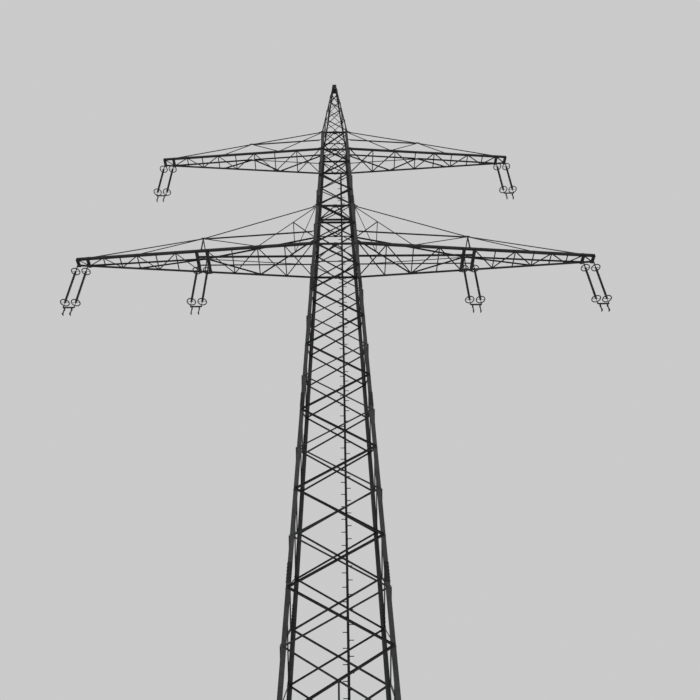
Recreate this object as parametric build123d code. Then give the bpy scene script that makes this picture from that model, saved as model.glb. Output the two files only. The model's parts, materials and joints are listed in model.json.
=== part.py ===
from build123d import *
import os
from math import atan2, cos, degrees, hypot, radians, sin

# A square lattice tower with two crossarms, a pointed peak and six double insulator
# strings, at half of its real size. All lengths are in millimetres of the half-size part.
# X runs along the crossarms, Y along the line and Z up. The front face looks to -Y.
# Shapes are drawn about the tower's axis, and the finished part is moved so that its
# origin is the middle of the front left footing's underside.

# Heights over the ground
LOWER_ARM_Z = 17660
LOWER_TOP_Z = 19605
UPPER_ARM_Z = 22970
UPPER_TOP_Z = 24145
PEAK_TOP_Z = 28230
BODY_Z = 5685

# Tower width over the outer faces of the legs
BASE_WIDTH = 2380
SHOULDER_WIDTH = 876
PEAK_WIDTH = 120

# Footings
FOOTING_SIZE = 440
FOOTING_HEIGHT = 200
FOOTING_SLOPE = 25

# Angle and flat sections
LEG_FLANGE = 95
LEG_WALL = 9
PEAK_FLANGE = 45
PEAK_WALL = 6
OUTER_BRACE = 48
OUTER_DEPTH = 28
INNER_BRACE = 38
INNER_DEPTH = 22
BRACE_WALL = 4
PEAK_OUTER_BRACE = 24
PEAK_INNER_BRACE = 18
PEAK_BRACE_WALL = 3
RING_WIDTH = 50
TIE_WIDTH = 34
LOWER_CHORD_FLANGE = 70
UPPER_CHORD_FLANGE = 60
CHORD_WALL = 8
TOP_CHORD_WIDTH = 34
ARM_BRACE_WIDTH = 30
ARM_BRACE_WALL = 4
FLOOR_DEPTH = 18
SEAT_GAP = 0.6
CLEARANCE = 0.3
SEAT_MARGIN = 6
GAUGE = 34
NODE_RISE = 70

# Panels of the tower faces, from the ground up: count, and each panel's height over the next
BASE_PANELS = 4
BASE_GROWTH = 1.05
BODY_PANELS = 11
BODY_GROWTH = 1.0098
ROOT_PANELS = 2
NECK_PANELS = 4
PEAK_PANELS = 6
PEAK_GROWTH = 1.16

# Crossarms: reach from the tower's axis to the outer face of the tip beam
LOWER_REACH = 7545
UPPER_REACH = 5780
TIP_WIDTH = 260
KING_RISE = 600
LOWER_KING_X = 3875
LOWER_FOOT_X = 2225
LOWER_OUTER_FOOT_X = 5750
UPPER_KING_X = 2825
UPPER_FOOT_X = 1875
UPPER_OUTER_FOOT_X = 3750
INNER_BAYS = 4
INNER_SHRINK = 0.955
OUTER_BAYS = 6
OUTER_SHRINK = 0.94
UPPER_BAYS = 8
UPPER_SHRINK = 0.925
HANGER_TIE = 0.42

# Beams that carry the strings, and the walkway stringers
TIP_BEAM_WIDTH = 90
CROSS_BEAM_WIDTH = 95
BEAM_DEPTH = 40
BEAM_WALL = 6
INNER_STRING_X = 3850
WALK_OFFSET = 140
WALK_FLANGE = 45
WALK_WALL = 5
CHANNEL_GAP = 100

# Insulator strings
ROD_SPACING = 300
LUG_DROP = 36
LUG_WIDTH = 40
LUG_WALL = 10
PIN_RADIUS = 6
PIN_PLAY = 0.5
FORK_WALL = 6
FORK_WIDTH = 26
SHANK_RADIUS = 8
CAP_RADIUS = 22
CAP_LENGTH = 60
ROD_RADIUS = 21
ROD_TOP_DROP = 105
ROD_LENGTH = 1460
RING_RADIUS = 133
RING_BAR = 11
YOKE_DROP = 170
YOKE_HEIGHT = 46
YOKE_WALL = 10
BUNDLE_SPACING = 200
HANGER_WIDTH = 24
CONDUCTOR_RADIUS = 5.6
CLAMP_LENGTH = 96
CLAMP_SIZE = 26

# Climbing rail on the back face
RAIL_X = 200
RAIL_WIDTH = 42
RAIL_DEPTH = 22
RAIL_START_Z = 1250

# Earth wire clamp on the peak
CAP_PLATE = 150
CAP_WALL = 12
EARTH_RADIUS = 4.3
EARTH_LUG_HEIGHT = 60
EARTH_LUG_LENGTH = 60
EARTH_LUG_WIDTH = 34

SLOPE = (BASE_WIDTH - SHOULDER_WIDTH) / 2 / UPPER_TOP_Z
PEAK_SLOPE = (SHOULDER_WIDTH - PEAK_WIDTH) / 2 / (PEAK_TOP_Z - UPPER_TOP_Z)
SIDES = {"left": 180, "right": 0}


def half_width(z):
    """Half of the tower's width over its legs at a height on the body or the peak."""
    if z <= UPPER_TOP_Z:
        return BASE_WIDTH / 2 - SLOPE * z
    return SHOULDER_WIDTH / 2 - PEAK_SLOPE * (z - UPPER_TOP_Z)


def steps(start, end, count, growth):
    """Places from start to end in count bays, each bay growth times the one after it."""
    shares = [growth ** (count - 1 - k) for k in range(count)]
    places = [start]
    for share in shares:
        places.append(places[-1] + (end - start) * share / sum(shares))
    return places


def strip(start, end, width):
    """A flat bar as a rectangle along the line from start to end."""
    a, b = Vector(*start), Vector(*end)
    side = Vector(a.Y - b.Y, b.X - a.X).normalized() * (width / 2)
    return Polygon(a - side, b - side, b + side, a + side, align=None)


def fuse(bars, limit=None):
    """One flat sketch from bars that cross, cut to an outline."""
    sketch = Sketch() + bars
    return sketch & limit if limit else sketch


def slab(plane, sketch, wall):
    """A flat sketch on a plane, thickened along its normal, or against it where wall is negative."""
    direction = plane.z_dir if wall > 0 else -plane.z_dir
    return extrude(plane * sketch, abs(wall), dir=direction)


def edge(start, end, width, wall, coped, upper):
    """The strip along an edge of a bar, where its other flange stands between the joints."""
    a, b = Vector(*start), Vector(*end)
    along = (b - a).normalized()
    side = Vector(-along.Y, along.X)
    if (side.Y > 0) != upper:
        side = side * -1
    shift = side * ((width - wall) / 2)
    near, far = a + shift + along * coped[0], b + shift - along * coped[1]
    return strip(tuple(near)[:2], tuple(far)[:2], wall)


def on_all_sides(shape):
    """The shape turned to the four sides of the tower."""
    return [Rot(0, 0, turn) * shape for turn in (0, 90, 180, 270)]


def leg_section(half, flange, wall):
    """The angle section of the front left leg, heel outwards."""
    heel = -half
    points = [
        (heel, heel),
        (heel + flange, heel),
        (heel + flange, heel + wall),
        (heel + wall, heel + wall),
        (heel + wall, heel + flange),
        (heel, heel + flange),
    ]
    return Polygon(*points, align=None)


def corner_legs(bottom, top, flange, wall):
    """Four legs from one height to another, each leaning with its two faces."""
    section = Pos(0, 0, bottom) * leg_section(half_width(bottom), flange, wall)
    lean = half_width(bottom) - half_width(top)
    leg = Solid.extrude(section.face(), Vector(lean, lean, top - bottom))
    return on_all_sides(leg)


def face_plane(bottom, slope, inset):
    """The plane of the front bracing, inset from the outer faces of the legs."""
    lean = Vector(0, slope, 1).normalized()
    return Plane(
        origin=(0, inset - half_width(bottom), bottom),
        x_dir=(1, 0, 0),
        z_dir=Vector(1, 0, 0).cross(lean),
    )


def face_outline(bottom, top, slope, margin):
    """The area between the legs of one face, in the plane of that face."""
    length = (top - bottom) * hypot(1, slope)
    low = half_width(bottom) - margin
    high = half_width(top) - margin
    return Polygon((-low, 0), (low, 0), (high, length), (-high, length), align=None)


def zigzag(levels, slope, gauge, first):
    """Diagonals that run from leg to leg through the levels; first is -1 or 1, a leg."""
    lines = []
    for k, (low, high) in enumerate(zip(levels, levels[1:])):
        side = first if k % 2 == 0 else -first
        a = (side * (half_width(low) - gauge), (low - levels[0]) * hypot(1, slope))
        b = (-side * (half_width(high) - gauge), (high - levels[0]) * hypot(1, slope))
        lines.append((a, b))
    return lines


def angle_lattice(plane, lines, width, wall, depth, coped, outline=None, upper=False):
    """Angles along the lines: a flange on the plane and one that stands on its edge.

    The standing flange is on the lower edge unless upper is true. It is coped, so that it
    starts and ends that far from the line's ends.
    """
    flats = fuse([strip(a, b, width) for a, b in lines], outline)
    ribs = fuse([edge(a, b, width, abs(wall), coped, upper) for a, b in lines], outline)
    return slab(plane, flats, wall) + slab(plane, ribs, depth)


def tower_levels():
    """Heights of the bracing joints from the footings to the upper arm's top."""
    start = FOOTING_HEIGHT + NODE_RISE
    levels = steps(start, BODY_Z, BASE_PANELS, BASE_GROWTH)
    levels += steps(BODY_Z, LOWER_ARM_Z, BODY_PANELS, BODY_GROWTH)[1:]
    levels += steps(LOWER_ARM_Z, LOWER_TOP_Z, ROOT_PANELS, 1)[1:]
    levels += steps(LOWER_TOP_Z, UPPER_ARM_Z, NECK_PANELS, 1)[1:]
    return levels + [UPPER_TOP_Z - RING_WIDTH / 2]


def ring_levels():
    """Heights of the four rings, where the arms' chords meet the tower."""
    return [LOWER_ARM_Z, LOWER_TOP_Z, UPPER_ARM_Z, UPPER_TOP_Z - RING_WIDTH / 2]


def crossing(low, high):
    """Height at which the two diagonals of a panel cross."""
    share = half_width(low) / (half_width(low) + half_width(high))
    return low + (high - low) * share


def chord_seats(start):
    """Areas of a side face, in its plane, that the arms' bottom chords end on."""
    seats = Sketch()
    for z, flange in ((LOWER_ARM_Z, LOWER_CHORD_FLANGE), (UPPER_ARM_Z, UPPER_CHORD_FLANGE)):
        size = flange + 2 * SEAT_MARGIN
        height = (z + flange / 2 - start) * hypot(1, SLOPE)
        for side in (-1, 1):
            seats += Pos(side * (half_width(z) - size / 2 + SEAT_MARGIN), height) * Rectangle(size, size)
    return seats


def outer_bracing(first, carries_arms):
    """The front face's outer diagonals, on the outside of the legs."""
    levels = tower_levels()
    outline = face_outline(levels[0], UPPER_TOP_Z, SLOPE, BRACE_WALL)
    if carries_arms:
        outline -= chord_seats(levels[0])
    lines = zigzag(levels, SLOPE, GAUGE, first)
    plane = face_plane(levels[0], SLOPE, 0)
    return angle_lattice(plane, lines, OUTER_BRACE, BRACE_WALL, OUTER_DEPTH, (0, 0), outline, True)


def inner_bracing(first, margin):
    """The front face's inner diagonals, ring members and tie, on the inside of the legs."""
    levels = tower_levels()
    start = levels[0]
    stretch = hypot(1, SLOPE)
    outline = face_outline(start, UPPER_TOP_Z, SLOPE, margin)
    lines = zigzag(levels, SLOPE, GAUGE, -first)
    plane = face_plane(start, SLOPE, LEG_WALL)
    lattice = angle_lattice(plane, lines, INNER_BRACE, -BRACE_WALL, -INNER_DEPTH, (0, 0), outline, True)
    rings = []
    for z in ring_levels():
        height = (z - start) * stretch
        rings.append(((-half_width(z), height), (half_width(z), height)))
    coped = (2 * LEG_FLANGE, 2 * LEG_FLANGE)
    lattice += angle_lattice(plane, rings, RING_WIDTH, -BRACE_WALL, -INNER_DEPTH, coped, outline)
    top = (crossing(levels[BASE_PANELS - 1], levels[BASE_PANELS]) - start) * stretch
    bottom = (crossing(levels[0], levels[1]) - start) * stretch
    return lattice + slab(plane, strip((0, bottom), (0, top), TIE_WIDTH), -BRACE_WALL)


def peak_bracing(first, margin):
    """The outer and inner diagonals of one face of the peak."""
    start = UPPER_TOP_Z + PEAK_OUTER_BRACE
    levels = steps(start, PEAK_TOP_Z - CAP_WALL, PEAK_PANELS, PEAK_GROWTH)
    gauge = PEAK_FLANGE / 2
    outer = angle_lattice(
        face_plane(start, PEAK_SLOPE, 0),
        zigzag(levels, PEAK_SLOPE, gauge, first),
        PEAK_OUTER_BRACE,
        PEAK_BRACE_WALL,
        PEAK_OUTER_BRACE,
        (0, 0),
        face_outline(start, levels[-1], PEAK_SLOPE, PEAK_BRACE_WALL),
        True,
    )
    inner = angle_lattice(
        face_plane(start, PEAK_SLOPE, PEAK_WALL),
        zigzag(levels, PEAK_SLOPE, gauge, -first),
        PEAK_INNER_BRACE,
        -PEAK_BRACE_WALL,
        -PEAK_INNER_BRACE,
        (0, 0),
        face_outline(start, levels[-1], PEAK_SLOPE, margin),
        True,
    )
    return [outer.solid(), inner.solid()]


def footing_centre():
    """Distance of a footing's middle from the tower's axis, along X and along Y."""
    return half_width(FOOTING_HEIGHT) - LEG_FLANGE / 3


def footings():
    """Four concrete pier heads that the legs stand on."""
    pier = Pos(0, 0, FOOTING_HEIGHT / 2) * Box(FOOTING_SIZE, FOOTING_SIZE, FOOTING_HEIGHT)
    pier = chamfer(pier.faces().sort_by(Axis.Z)[-1].edges(), FOOTING_SLOPE)
    centre = footing_centre()
    return on_all_sides(Pos(-centre, -centre, 0) * pier.solid())


class Arm:
    """One crossarm to +X, built about the tower's axis."""

    def __init__(self, z, top_z, reach, flange, king, foot, outer_foot, stations, first):
        self.z = z
        self.top_z = top_z
        self.reach = reach
        self.flange = flange
        self.first = first
        self.king = king
        self.foot = foot
        self.outer_foot = outer_foot
        self.stations = stations
        self.beam_places = ()
        self.root = half_width(z)
        self.run = (TIP_WIDTH / 2 - self.root) / (reach - self.root)
        self.lean = SLOPE * (1 - self.run)
        self.tip_beam_x = reach - TIP_BEAM_WIDTH / 2
        self.inner_beam_x = self.tip_beam_x - ROD_SPACING

    def half(self, x):
        """Half of the arm's width over its bottom chords."""
        return self.root + self.run * (x - self.root)

    def leg_cut(self):
        """The outer face of the legs that the arm butts against."""
        normal = Vector(1, 0, SLOPE).normalized()
        return Plane(origin=(self.root, 0, self.z), x_dir=(0, 1, 0), z_dir=normal)

    def both_chords(self, front):
        """A piece of the front side, cut at the leg, and its mirror image."""
        piece = split(front, bisect_by=self.leg_cut(), keep=Keep.TOP).solid()
        return [piece, mirror(piece, about=Plane.XZ)]

    def chords(self):
        """The two bottom chords, angles with the heel outwards and down."""
        flange, wall = self.flange, CHORD_WALL
        lean = self.lean
        heel = -self.half(0)
        section = [
            (heel, 0),
            (heel + flange, 0),
            (heel + flange, wall),
            (heel + wall + lean * wall, wall),
            (heel + wall + lean * flange, flange),
            (heel + lean * flange, flange),
        ]
        outline = Plane.YZ * Polygon(*section, align=None)
        direction = Vector(self.reach, -self.run * self.reach, 0)
        chord = Solid.extrude((Pos(0, 0, self.z) * outline).face(), direction)
        return self.both_chords(chord)

    def side_plane(self, inset):
        """The leaning plane of the front side, inset from the chord's outer face."""
        along = Vector(1, -self.run, 0).normalized()
        rise = Vector(0, self.lean, 1).normalized()
        return Plane(origin=(self.root, inset - self.root, self.z), x_dir=along, z_dir=along.cross(rise))

    def in_side(self, x, rise):
        """A point of the front side, by its X and its height over the bottom, as 2D."""
        plane = self.side_plane(0)
        y = -self.half(x) + self.lean * rise
        local = plane.to_local_coords(Vector(x, y, self.z + rise))
        return (local.X, local.Y)

    def king_rise(self):
        """Height of the king joint over the bottom chords."""
        return KING_RISE

    def hanger(self):
        """Ends of the hanger as X and height over the bottom: the leg's top and the foot."""
        top = (half_width(self.top_z) - LEG_FLANGE / 2, self.top_z - self.z - TOP_CHORD_WIDTH)
        return top, (self.foot, self.flange / 2)

    def side_bars(self):
        """The members of one side: top chord, strut, hanger and braces."""
        high_end, low_end = self.hanger()
        top = self.in_side(*high_end)
        foot = self.in_side(*low_end)
        king = self.in_side(self.king, self.king_rise())
        end = self.in_side(self.inner_beam_x, low_end[1])
        outer = self.in_side(self.outer_foot, low_end[1])
        middle = self.in_side(high_end[0], self.king_rise())
        chords = [(top, king), (king, end)]
        braces = [(middle, king), (top, foot), (king, foot), (king, outer)]
        return chords, braces

    def trusses(self):
        """The two sides of the arm, each a flat lattice of angles against its chord."""
        plane = self.side_plane(CHORD_WALL)
        chords, braces = self.side_bars()
        depth = -TOP_CHORD_WIDTH / 2
        coped = (2 * TOP_CHORD_WIDTH, 2 * TOP_CHORD_WIDTH)
        lattice = angle_lattice(plane, chords, TOP_CHORD_WIDTH, -ARM_BRACE_WALL, depth, coped)
        lattice += angle_lattice(plane, braces, ARM_BRACE_WIDTH, -ARM_BRACE_WALL, depth, coped)
        return self.both_chords(lattice)

    def bottom_lines(self):
        """Struts and diagonals between the bottom chords."""
        places = [self.root + ARM_BRACE_WIDTH] + self.stations
        lines = [((x, -self.half(x)), (x, self.half(x))) for x in self.stations]
        for k, (a, b) in enumerate(zip(places, places[1:])):
            if a in self.beam_places and b in self.beam_places:
                continue
            side = self.first if k % 2 else -self.first
            low, high = self.half(a) - self.flange / 2, self.half(b) - self.flange / 2
            lines.append(((a, -side * low), (b, side * high)))
            if k == 0:
                lines.append(((a, side * low), (b, -side * high)))
        return lines

    def bottom_bracing(self):
        """The lattice of angles that lies on the chords' lower flanges."""
        inset = CHORD_WALL + TOP_CHORD_WIDTH / 2 + self.lean * (CHORD_WALL + FLOOR_DEPTH) + SEAT_GAP
        near, far = self.root + CLEARANCE, self.tip_beam_x
        outline = Polygon(
            (near, -self.half(near) + inset),
            (far, -self.half(far) + inset),
            (far, self.half(far) - inset),
            (near, self.half(near) - inset),
            align=None,
        )
        level = Plane((0, 0, self.z + CHORD_WALL))
        lines = self.bottom_lines()
        coped = (0, 2 * ARM_BRACE_WIDTH)
        lattice = angle_lattice(level, lines, ARM_BRACE_WIDTH, ARM_BRACE_WALL, FLOOR_DEPTH, coped, outline)
        return list(lattice.solids())

    def beam(self, x, width):
        """A channel under the chords with the lug that a rod hangs from."""
        half = self.half(x + width / 2)
        outer = Box(width, 2 * half, BEAM_DEPTH)
        hollow = Pos(0, 0, BEAM_WALL) * Box(width - 2 * BEAM_WALL, 2 * half, BEAM_DEPTH)
        channel = Pos(x, 0, self.z - BEAM_DEPTH / 2) * (outer - hollow)
        return (channel + self.lug(x)).solid()

    def lug(self, x):
        """A plate across the line with a hole for the pin of a fork."""
        plate = Pos(0, LUG_DROP / 2) * Rectangle(LUG_WIDTH, LUG_DROP)
        plate += RegularPolygon(LUG_WIDTH / 2, 8, major_radius=False, rotation=22.5)
        plate -= RegularPolygon(PIN_RADIUS + PIN_PLAY, 12, major_radius=False)
        upright = extrude(Plane.YZ * plate, LUG_WALL / 2, both=True)
        return Pos(x, 0, self.z - BEAM_DEPTH - LUG_DROP) * upright

    def beams(self):
        """The two beams of the tip box."""
        return [self.beam(self.inner_beam_x, TIP_BEAM_WIDTH), self.beam(self.tip_beam_x, TIP_BEAM_WIDTH)]


class LowerArm(Arm):
    """The long arm, with a walkway and a second string at its middle."""

    def __init__(self):
        near = INNER_STRING_X - ROD_SPACING / 2
        far = INNER_STRING_X + ROD_SPACING / 2
        root = half_width(LOWER_ARM_Z)
        tip = LOWER_REACH - TIP_BEAM_WIDTH / 2
        stations = steps(root, near, INNER_BAYS, 1 / INNER_SHRINK)[1:]
        stations += steps(far, tip - ROD_SPACING, OUTER_BAYS, 1 / OUTER_SHRINK) + [tip]
        stations[INNER_BAYS - 1] = near
        super().__init__(
            LOWER_ARM_Z, LOWER_TOP_Z, LOWER_REACH, LOWER_CHORD_FLANGE,
            LOWER_KING_X, LOWER_FOOT_X, LOWER_OUTER_FOOT_X, stations, 1,
        )
        self.beam_places = (near, far)

    def side_bars(self):
        chords, braces = super().side_bars()
        king = self.in_side(self.king, self.king_rise())
        post = self.in_side(self.king, self.flange / 2)
        return chords, braces + [(post, king)]

    def beams(self):
        """The beams of the tip box and the two heavy beams at the middle of the arm."""
        return super().beams() + [self.beam(x, CROSS_BEAM_WIDTH) for x in self.beam_places]

    def hanger_ties(self):
        """The crossed ties between the front and back hangers, and the king strut."""
        (top_x, top_rise), (low_x, low_rise) = self.hanger()
        slant = atan2(top_rise - low_rise, low_x - top_x)
        end = hypot(top_rise - low_rise, low_x - top_x) * HANGER_TIE
        start = LEG_FLANGE / 2 + ARM_BRACE_WIDTH * 1.5
        margin = ARM_BRACE_WIDTH / 2

        def half(x, rise):
            return self.half(x) - self.lean * rise - CHORD_WALL - SEAT_GAP

        def along(length):
            x, rise = top_x + length * cos(slant), top_rise - length * sin(slant)
            return half(x, rise) - ARM_BRACE_WALL

        plane = Plane(
            origin=(top_x, 0, self.z + top_rise),
            x_dir=(cos(slant), 0, -sin(slant)),
            z_dir=(sin(slant), 0, cos(slant)),
        )
        near, far = along(start), along(end)
        bars = [
            strip((start, -near), (end, far), ARM_BRACE_WIDTH),
            strip((start, near), (end, -far), ARM_BRACE_WIDTH),
            strip((end, -far), (end, far), ARM_BRACE_WIDTH),
        ]
        tip = along(end + margin)
        corners = [(start, -near), (end + margin, -tip), (end + margin, tip), (start, near)]
        outline = Polygon(*corners, align=None)
        ties = extrude(plane * fuse(bars, outline), ARM_BRACE_WALL / 2, both=True).solid()
        reach = half(self.king + margin, self.king_rise() + ARM_BRACE_WALL) - ARM_BRACE_WALL
        strut = Box(ARM_BRACE_WIDTH, 2 * reach, ARM_BRACE_WALL).solid()
        return [ties, Pos(self.king, 0, self.z + self.king_rise()) * strut]

    def walkway(self):
        """Two angle stringers that lie on the bottom bracing."""
        base = self.z + CHORD_WALL + FLOOR_DEPTH
        corner = [(0, 0), (WALK_FLANGE, 0), (WALK_FLANGE, WALK_WALL), (WALK_WALL, WALK_WALL),
                  (WALK_WALL, WALK_FLANGE), (0, WALK_FLANGE)]
        outline = Plane.YZ * Polygon(*corner, align=None)
        length = self.beam_places[1] - self.root - CLEARANCE
        start = Pos(self.root + CLEARANCE, WALK_OFFSET - WALK_FLANGE / 2, base)
        stringer = Solid.extrude((start * outline).face(), Vector(length, 0, 0))
        return [stringer, mirror(stringer, about=Plane.XZ)]


class UpperArm(Arm):
    """The short arm, with straight top chords."""

    def __init__(self):
        root = half_width(UPPER_ARM_Z)
        tip = UPPER_REACH - TIP_BEAM_WIDTH / 2
        stations = steps(root, tip - ROD_SPACING, UPPER_BAYS, 1 / UPPER_SHRINK)[1:] + [tip]
        super().__init__(
            UPPER_ARM_Z, UPPER_TOP_Z, UPPER_REACH, UPPER_CHORD_FLANGE,
            UPPER_KING_X, UPPER_FOOT_X, UPPER_OUTER_FOOT_X, stations, -1,
        )

    def king_rise(self):
        """The king joint lies on the straight line of the top chord."""
        high = self.top_z - self.z - TOP_CHORD_WIDTH
        share = (self.king - self.root) / (self.inner_beam_x - self.root)
        return high - share * (high - self.flange / 2)


def prism(radius, length, sides=8):
    """A many-sided bar that stands below the origin."""
    return Pos(0, 0, -length) * extrude(RegularPolygon(radius, sides), length)


def arcing_ring(drop):
    """A round ring about a rod, held by two arms."""
    outer = RegularPolygon(RING_RADIUS, 12)
    inner = RegularPolygon(RING_RADIUS - RING_BAR, 12)
    arms = Rectangle(2 * RING_RADIUS - RING_BAR, RING_BAR)
    ring = extrude(outer - inner + arms, RING_BAR)
    return Pos(0, 0, -drop) * ring


def fork():
    """Two cheeks with a pin through the lug, over a cross bar and a shank."""
    gap = LUG_WALL / 2 + 2 * CLEARANCE
    height = LUG_WIDTH / 2 + 2 * PIN_RADIUS
    cheek = Box(FORK_WALL, FORK_WIDTH, height + PIN_RADIUS)
    cheek = Pos(gap + FORK_WALL / 2, 0, PIN_RADIUS - height / 2) * cheek
    floor = PIN_RADIUS - height - PIN_RADIUS / 2
    bridge = Pos(0, 0, floor - FORK_WALL / 2) * Box(2 * (gap + FORK_WALL), FORK_WIDTH, FORK_WALL)
    pin = extrude(Plane.YZ * RegularPolygon(PIN_RADIUS, 12), gap + FORK_WALL, both=True)
    shank = Pos(0, 0, floor - FORK_WALL) * prism(SHANK_RADIUS, ROD_TOP_DROP + floor - FORK_WALL)
    return cheek + mirror(cheek, about=Plane.YZ) + bridge + pin + shank


def rod():
    """One insulator from its pin down to the eye that carries the yoke."""
    body = fork()
    body += Pos(0, 0, -ROD_TOP_DROP) * prism(CAP_RADIUS, CAP_LENGTH)
    body += Pos(0, 0, -ROD_TOP_DROP - CAP_LENGTH) * prism(ROD_RADIUS, ROD_LENGTH)
    foot = ROD_TOP_DROP + CAP_LENGTH + ROD_LENGTH
    body += Pos(0, 0, -foot) * prism(CAP_RADIUS, CAP_LENGTH)
    body += Pos(0, 0, -foot - CAP_LENGTH) * prism(SHANK_RADIUS, YOKE_DROP - YOKE_HEIGHT / 2)
    body += arcing_ring(ROD_TOP_DROP + CAP_LENGTH / 2)
    body += arcing_ring(foot + CAP_LENGTH / 2)
    return body.solid()


def clamp():
    """A suspension clamp: a block with tapered ends and a bore along the line."""
    end, side = CLAMP_LENGTH / 2, CLAMP_SIZE / 2
    keel = [(-end, -side / 2), (-end / 3, -side), (end / 3, -side), (end, -side / 2)]
    outline = Polygon(*keel, (end, side), (-end, side), align=None)
    block = extrude(Plane.YZ * outline, side, both=True)
    return block - Rot(90, 0, 0) * Cylinder(CONDUCTOR_RADIUS, CLAMP_LENGTH)


def yoke():
    """The plate between the rods, and two hangers with a clamp over a clamp."""
    depth = ROD_TOP_DROP + 2 * CAP_LENGTH + ROD_LENGTH + YOKE_DROP - YOKE_HEIGHT / 2
    plate = Pos(0, 0, -depth - YOKE_HEIGHT / 2) * Box(ROD_SPACING + CAP_RADIUS * 2, YOKE_WALL, YOKE_HEIGHT)
    upper = depth + YOKE_HEIGHT + CLAMP_SIZE * 2
    body = plate
    for side in (-1, 1):
        x = side * BUNDLE_SPACING / 2
        length = upper - depth - YOKE_HEIGHT + BUNDLE_SPACING
        hanger = Pos(x, 0, -depth - YOKE_HEIGHT - length / 2) * Box(HANGER_WIDTH, YOKE_WALL, length)
        for drop in (upper, upper + BUNDLE_SPACING):
            place = Pos(x, 0, -drop)
            hanger = hanger - place * Box(CLAMP_SIZE, CLAMP_LENGTH, CLAMP_SIZE) + place * clamp()
        body += hanger
    return body.solid()


def strings():
    """Middle of each double string and the height of its pins, by name."""
    lower_z = LOWER_ARM_Z - BEAM_DEPTH - LUG_DROP
    upper_z = UPPER_ARM_Z - BEAM_DEPTH - LUG_DROP
    tip = TIP_BEAM_WIDTH / 2 + ROD_SPACING / 2
    places = {}
    for side, sign in (("left", -1), ("right", 1)):
        places[f"lower_{side}_outer"] = (sign * (LOWER_REACH - tip), lower_z)
        places[f"lower_{side}_inner"] = (sign * INNER_STRING_X, lower_z)
        places[f"upper_{side}"] = (sign * (UPPER_REACH - tip), upper_z)
    return places


def climbing_rail():
    """The rail that the climbing pegs stand on, inside the back bracing."""
    start = RAIL_START_Z
    length = (UPPER_ARM_Z - start) * hypot(1, SLOPE)
    plane = face_plane(start, SLOPE, LEG_WALL).offset(-INNER_DEPTH)
    rail = slab(plane, Pos(-RAIL_X, length / 2) * Rectangle(RAIL_WIDTH, length), -RAIL_DEPTH)
    return [Rot(0, 0, 180) * rail.solid()]


def diaphragms():
    """In each ring, a diamond between the middles of its sides and members across it."""
    pieces = []
    for z in ring_levels():
        reach = half_width(z) - LEG_WALL - BRACE_WALL - 2 * CLEARANCE
        corners = [(-reach, 0), (0, -reach), (reach, 0), (0, reach)]
        bars = [strip(a, b, TIE_WIDTH) for a, b in zip(corners, corners[1:] + corners[:1])]
        shifts = (-CHANNEL_GAP / 2, CHANNEL_GAP / 2) if z == LOWER_TOP_Z else (0,)
        bars += [strip((-reach, y), (reach, y), TIE_WIDTH) for y in shifts]
        base = Plane((0, 0, z - RING_WIDTH / 2 + BRACE_WALL + CLEARANCE))
        pieces.append(slab(base, fuse(bars, Rectangle(2 * reach, 2 * reach)), BRACE_WALL).solid())
    return pieces


def peak_cap():
    """The plate on the peak and the clamp that the earth wire passes through."""
    plate = Pos(0, 0, PEAK_TOP_Z + CAP_WALL / 2) * Box(CAP_PLATE, CAP_PLATE, CAP_WALL)
    base = PEAK_TOP_Z + CAP_WALL
    lug = Pos(0, 0, base + EARTH_LUG_HEIGHT / 2) * Box(EARTH_LUG_WIDTH, EARTH_LUG_LENGTH, EARTH_LUG_HEIGHT)
    bore = Rot(90, 0, 0) * Cylinder(EARTH_RADIUS, EARTH_LUG_LENGTH)
    lug -= Pos(0, 0, base + EARTH_LUG_HEIGHT * 2 / 3) * bore
    return [(plate + lug).solid()]


def tower_nodes():
    """Every piece of the tower itself, by name."""
    legs = corner_legs(FOOTING_HEIGHT, UPPER_TOP_Z, LEG_FLANGE, LEG_WALL)
    names = ("front_left", "front_right", "back_right", "back_left")
    nodes = {f"leg_{name}": [leg] for name, leg in zip(names, legs)}
    wide = LEG_WALL + CLEARANCE
    narrow = wide + INNER_DEPTH + CLEARANCE
    faces = {
        "front": (0, 1, wide),
        "right": (90, 1, narrow),
        "back": (180, -1, wide),
        "left": (270, 1, narrow),
    }
    for name, (turn, first, margin) in faces.items():
        outer = outer_bracing(first, name in SIDES)
        solids = [*outer.solids(), inner_bracing(first, margin).solid()]
        nodes[f"bracing_{name}"] = [Rot(0, 0, turn) * solid for solid in solids]
    nodes["peak_legs"] = corner_legs(UPPER_TOP_Z, PEAK_TOP_Z, PEAK_FLANGE, PEAK_WALL)
    nodes["peak_bracing"] = []
    for turn, first, margin in faces.values():
        inset = PEAK_WALL + CLEARANCE if margin == wide else PEAK_WALL + PEAK_INNER_BRACE + 2 * CLEARANCE
        nodes["peak_bracing"] += [Rot(0, 0, turn) * solid for solid in peak_bracing(first, inset)]
    nodes["peak_cap"] = peak_cap()
    nodes["diaphragms"] = diaphragms()
    nodes["climbing_rail"] = climbing_rail()
    nodes["footings"] = footings()
    return nodes


def arm_nodes():
    """Every piece of the four crossarms, by name."""
    nodes = {}
    lower, upper = LowerArm(), UpperArm()
    for name, arm in (("lower", lower), ("upper", upper)):
        pieces = {
            "chords": arm.chords(),
            "trusses": arm.trusses(),
            "bottom_bracing": arm.bottom_bracing(),
            "beams": arm.beams(),
        }
        for side, turn in SIDES.items():
            for piece, solids in pieces.items():
                nodes[f"{name}_{side}_{piece}"] = [Rot(0, 0, turn) * solid for solid in solids]
    for piece, solids in (("hanger_ties", lower.hanger_ties()), ("walkway", lower.walkway())):
        nodes[piece] = [Rot(0, 0, turn) * solid for turn in SIDES.values() for solid in solids]
    return nodes


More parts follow.
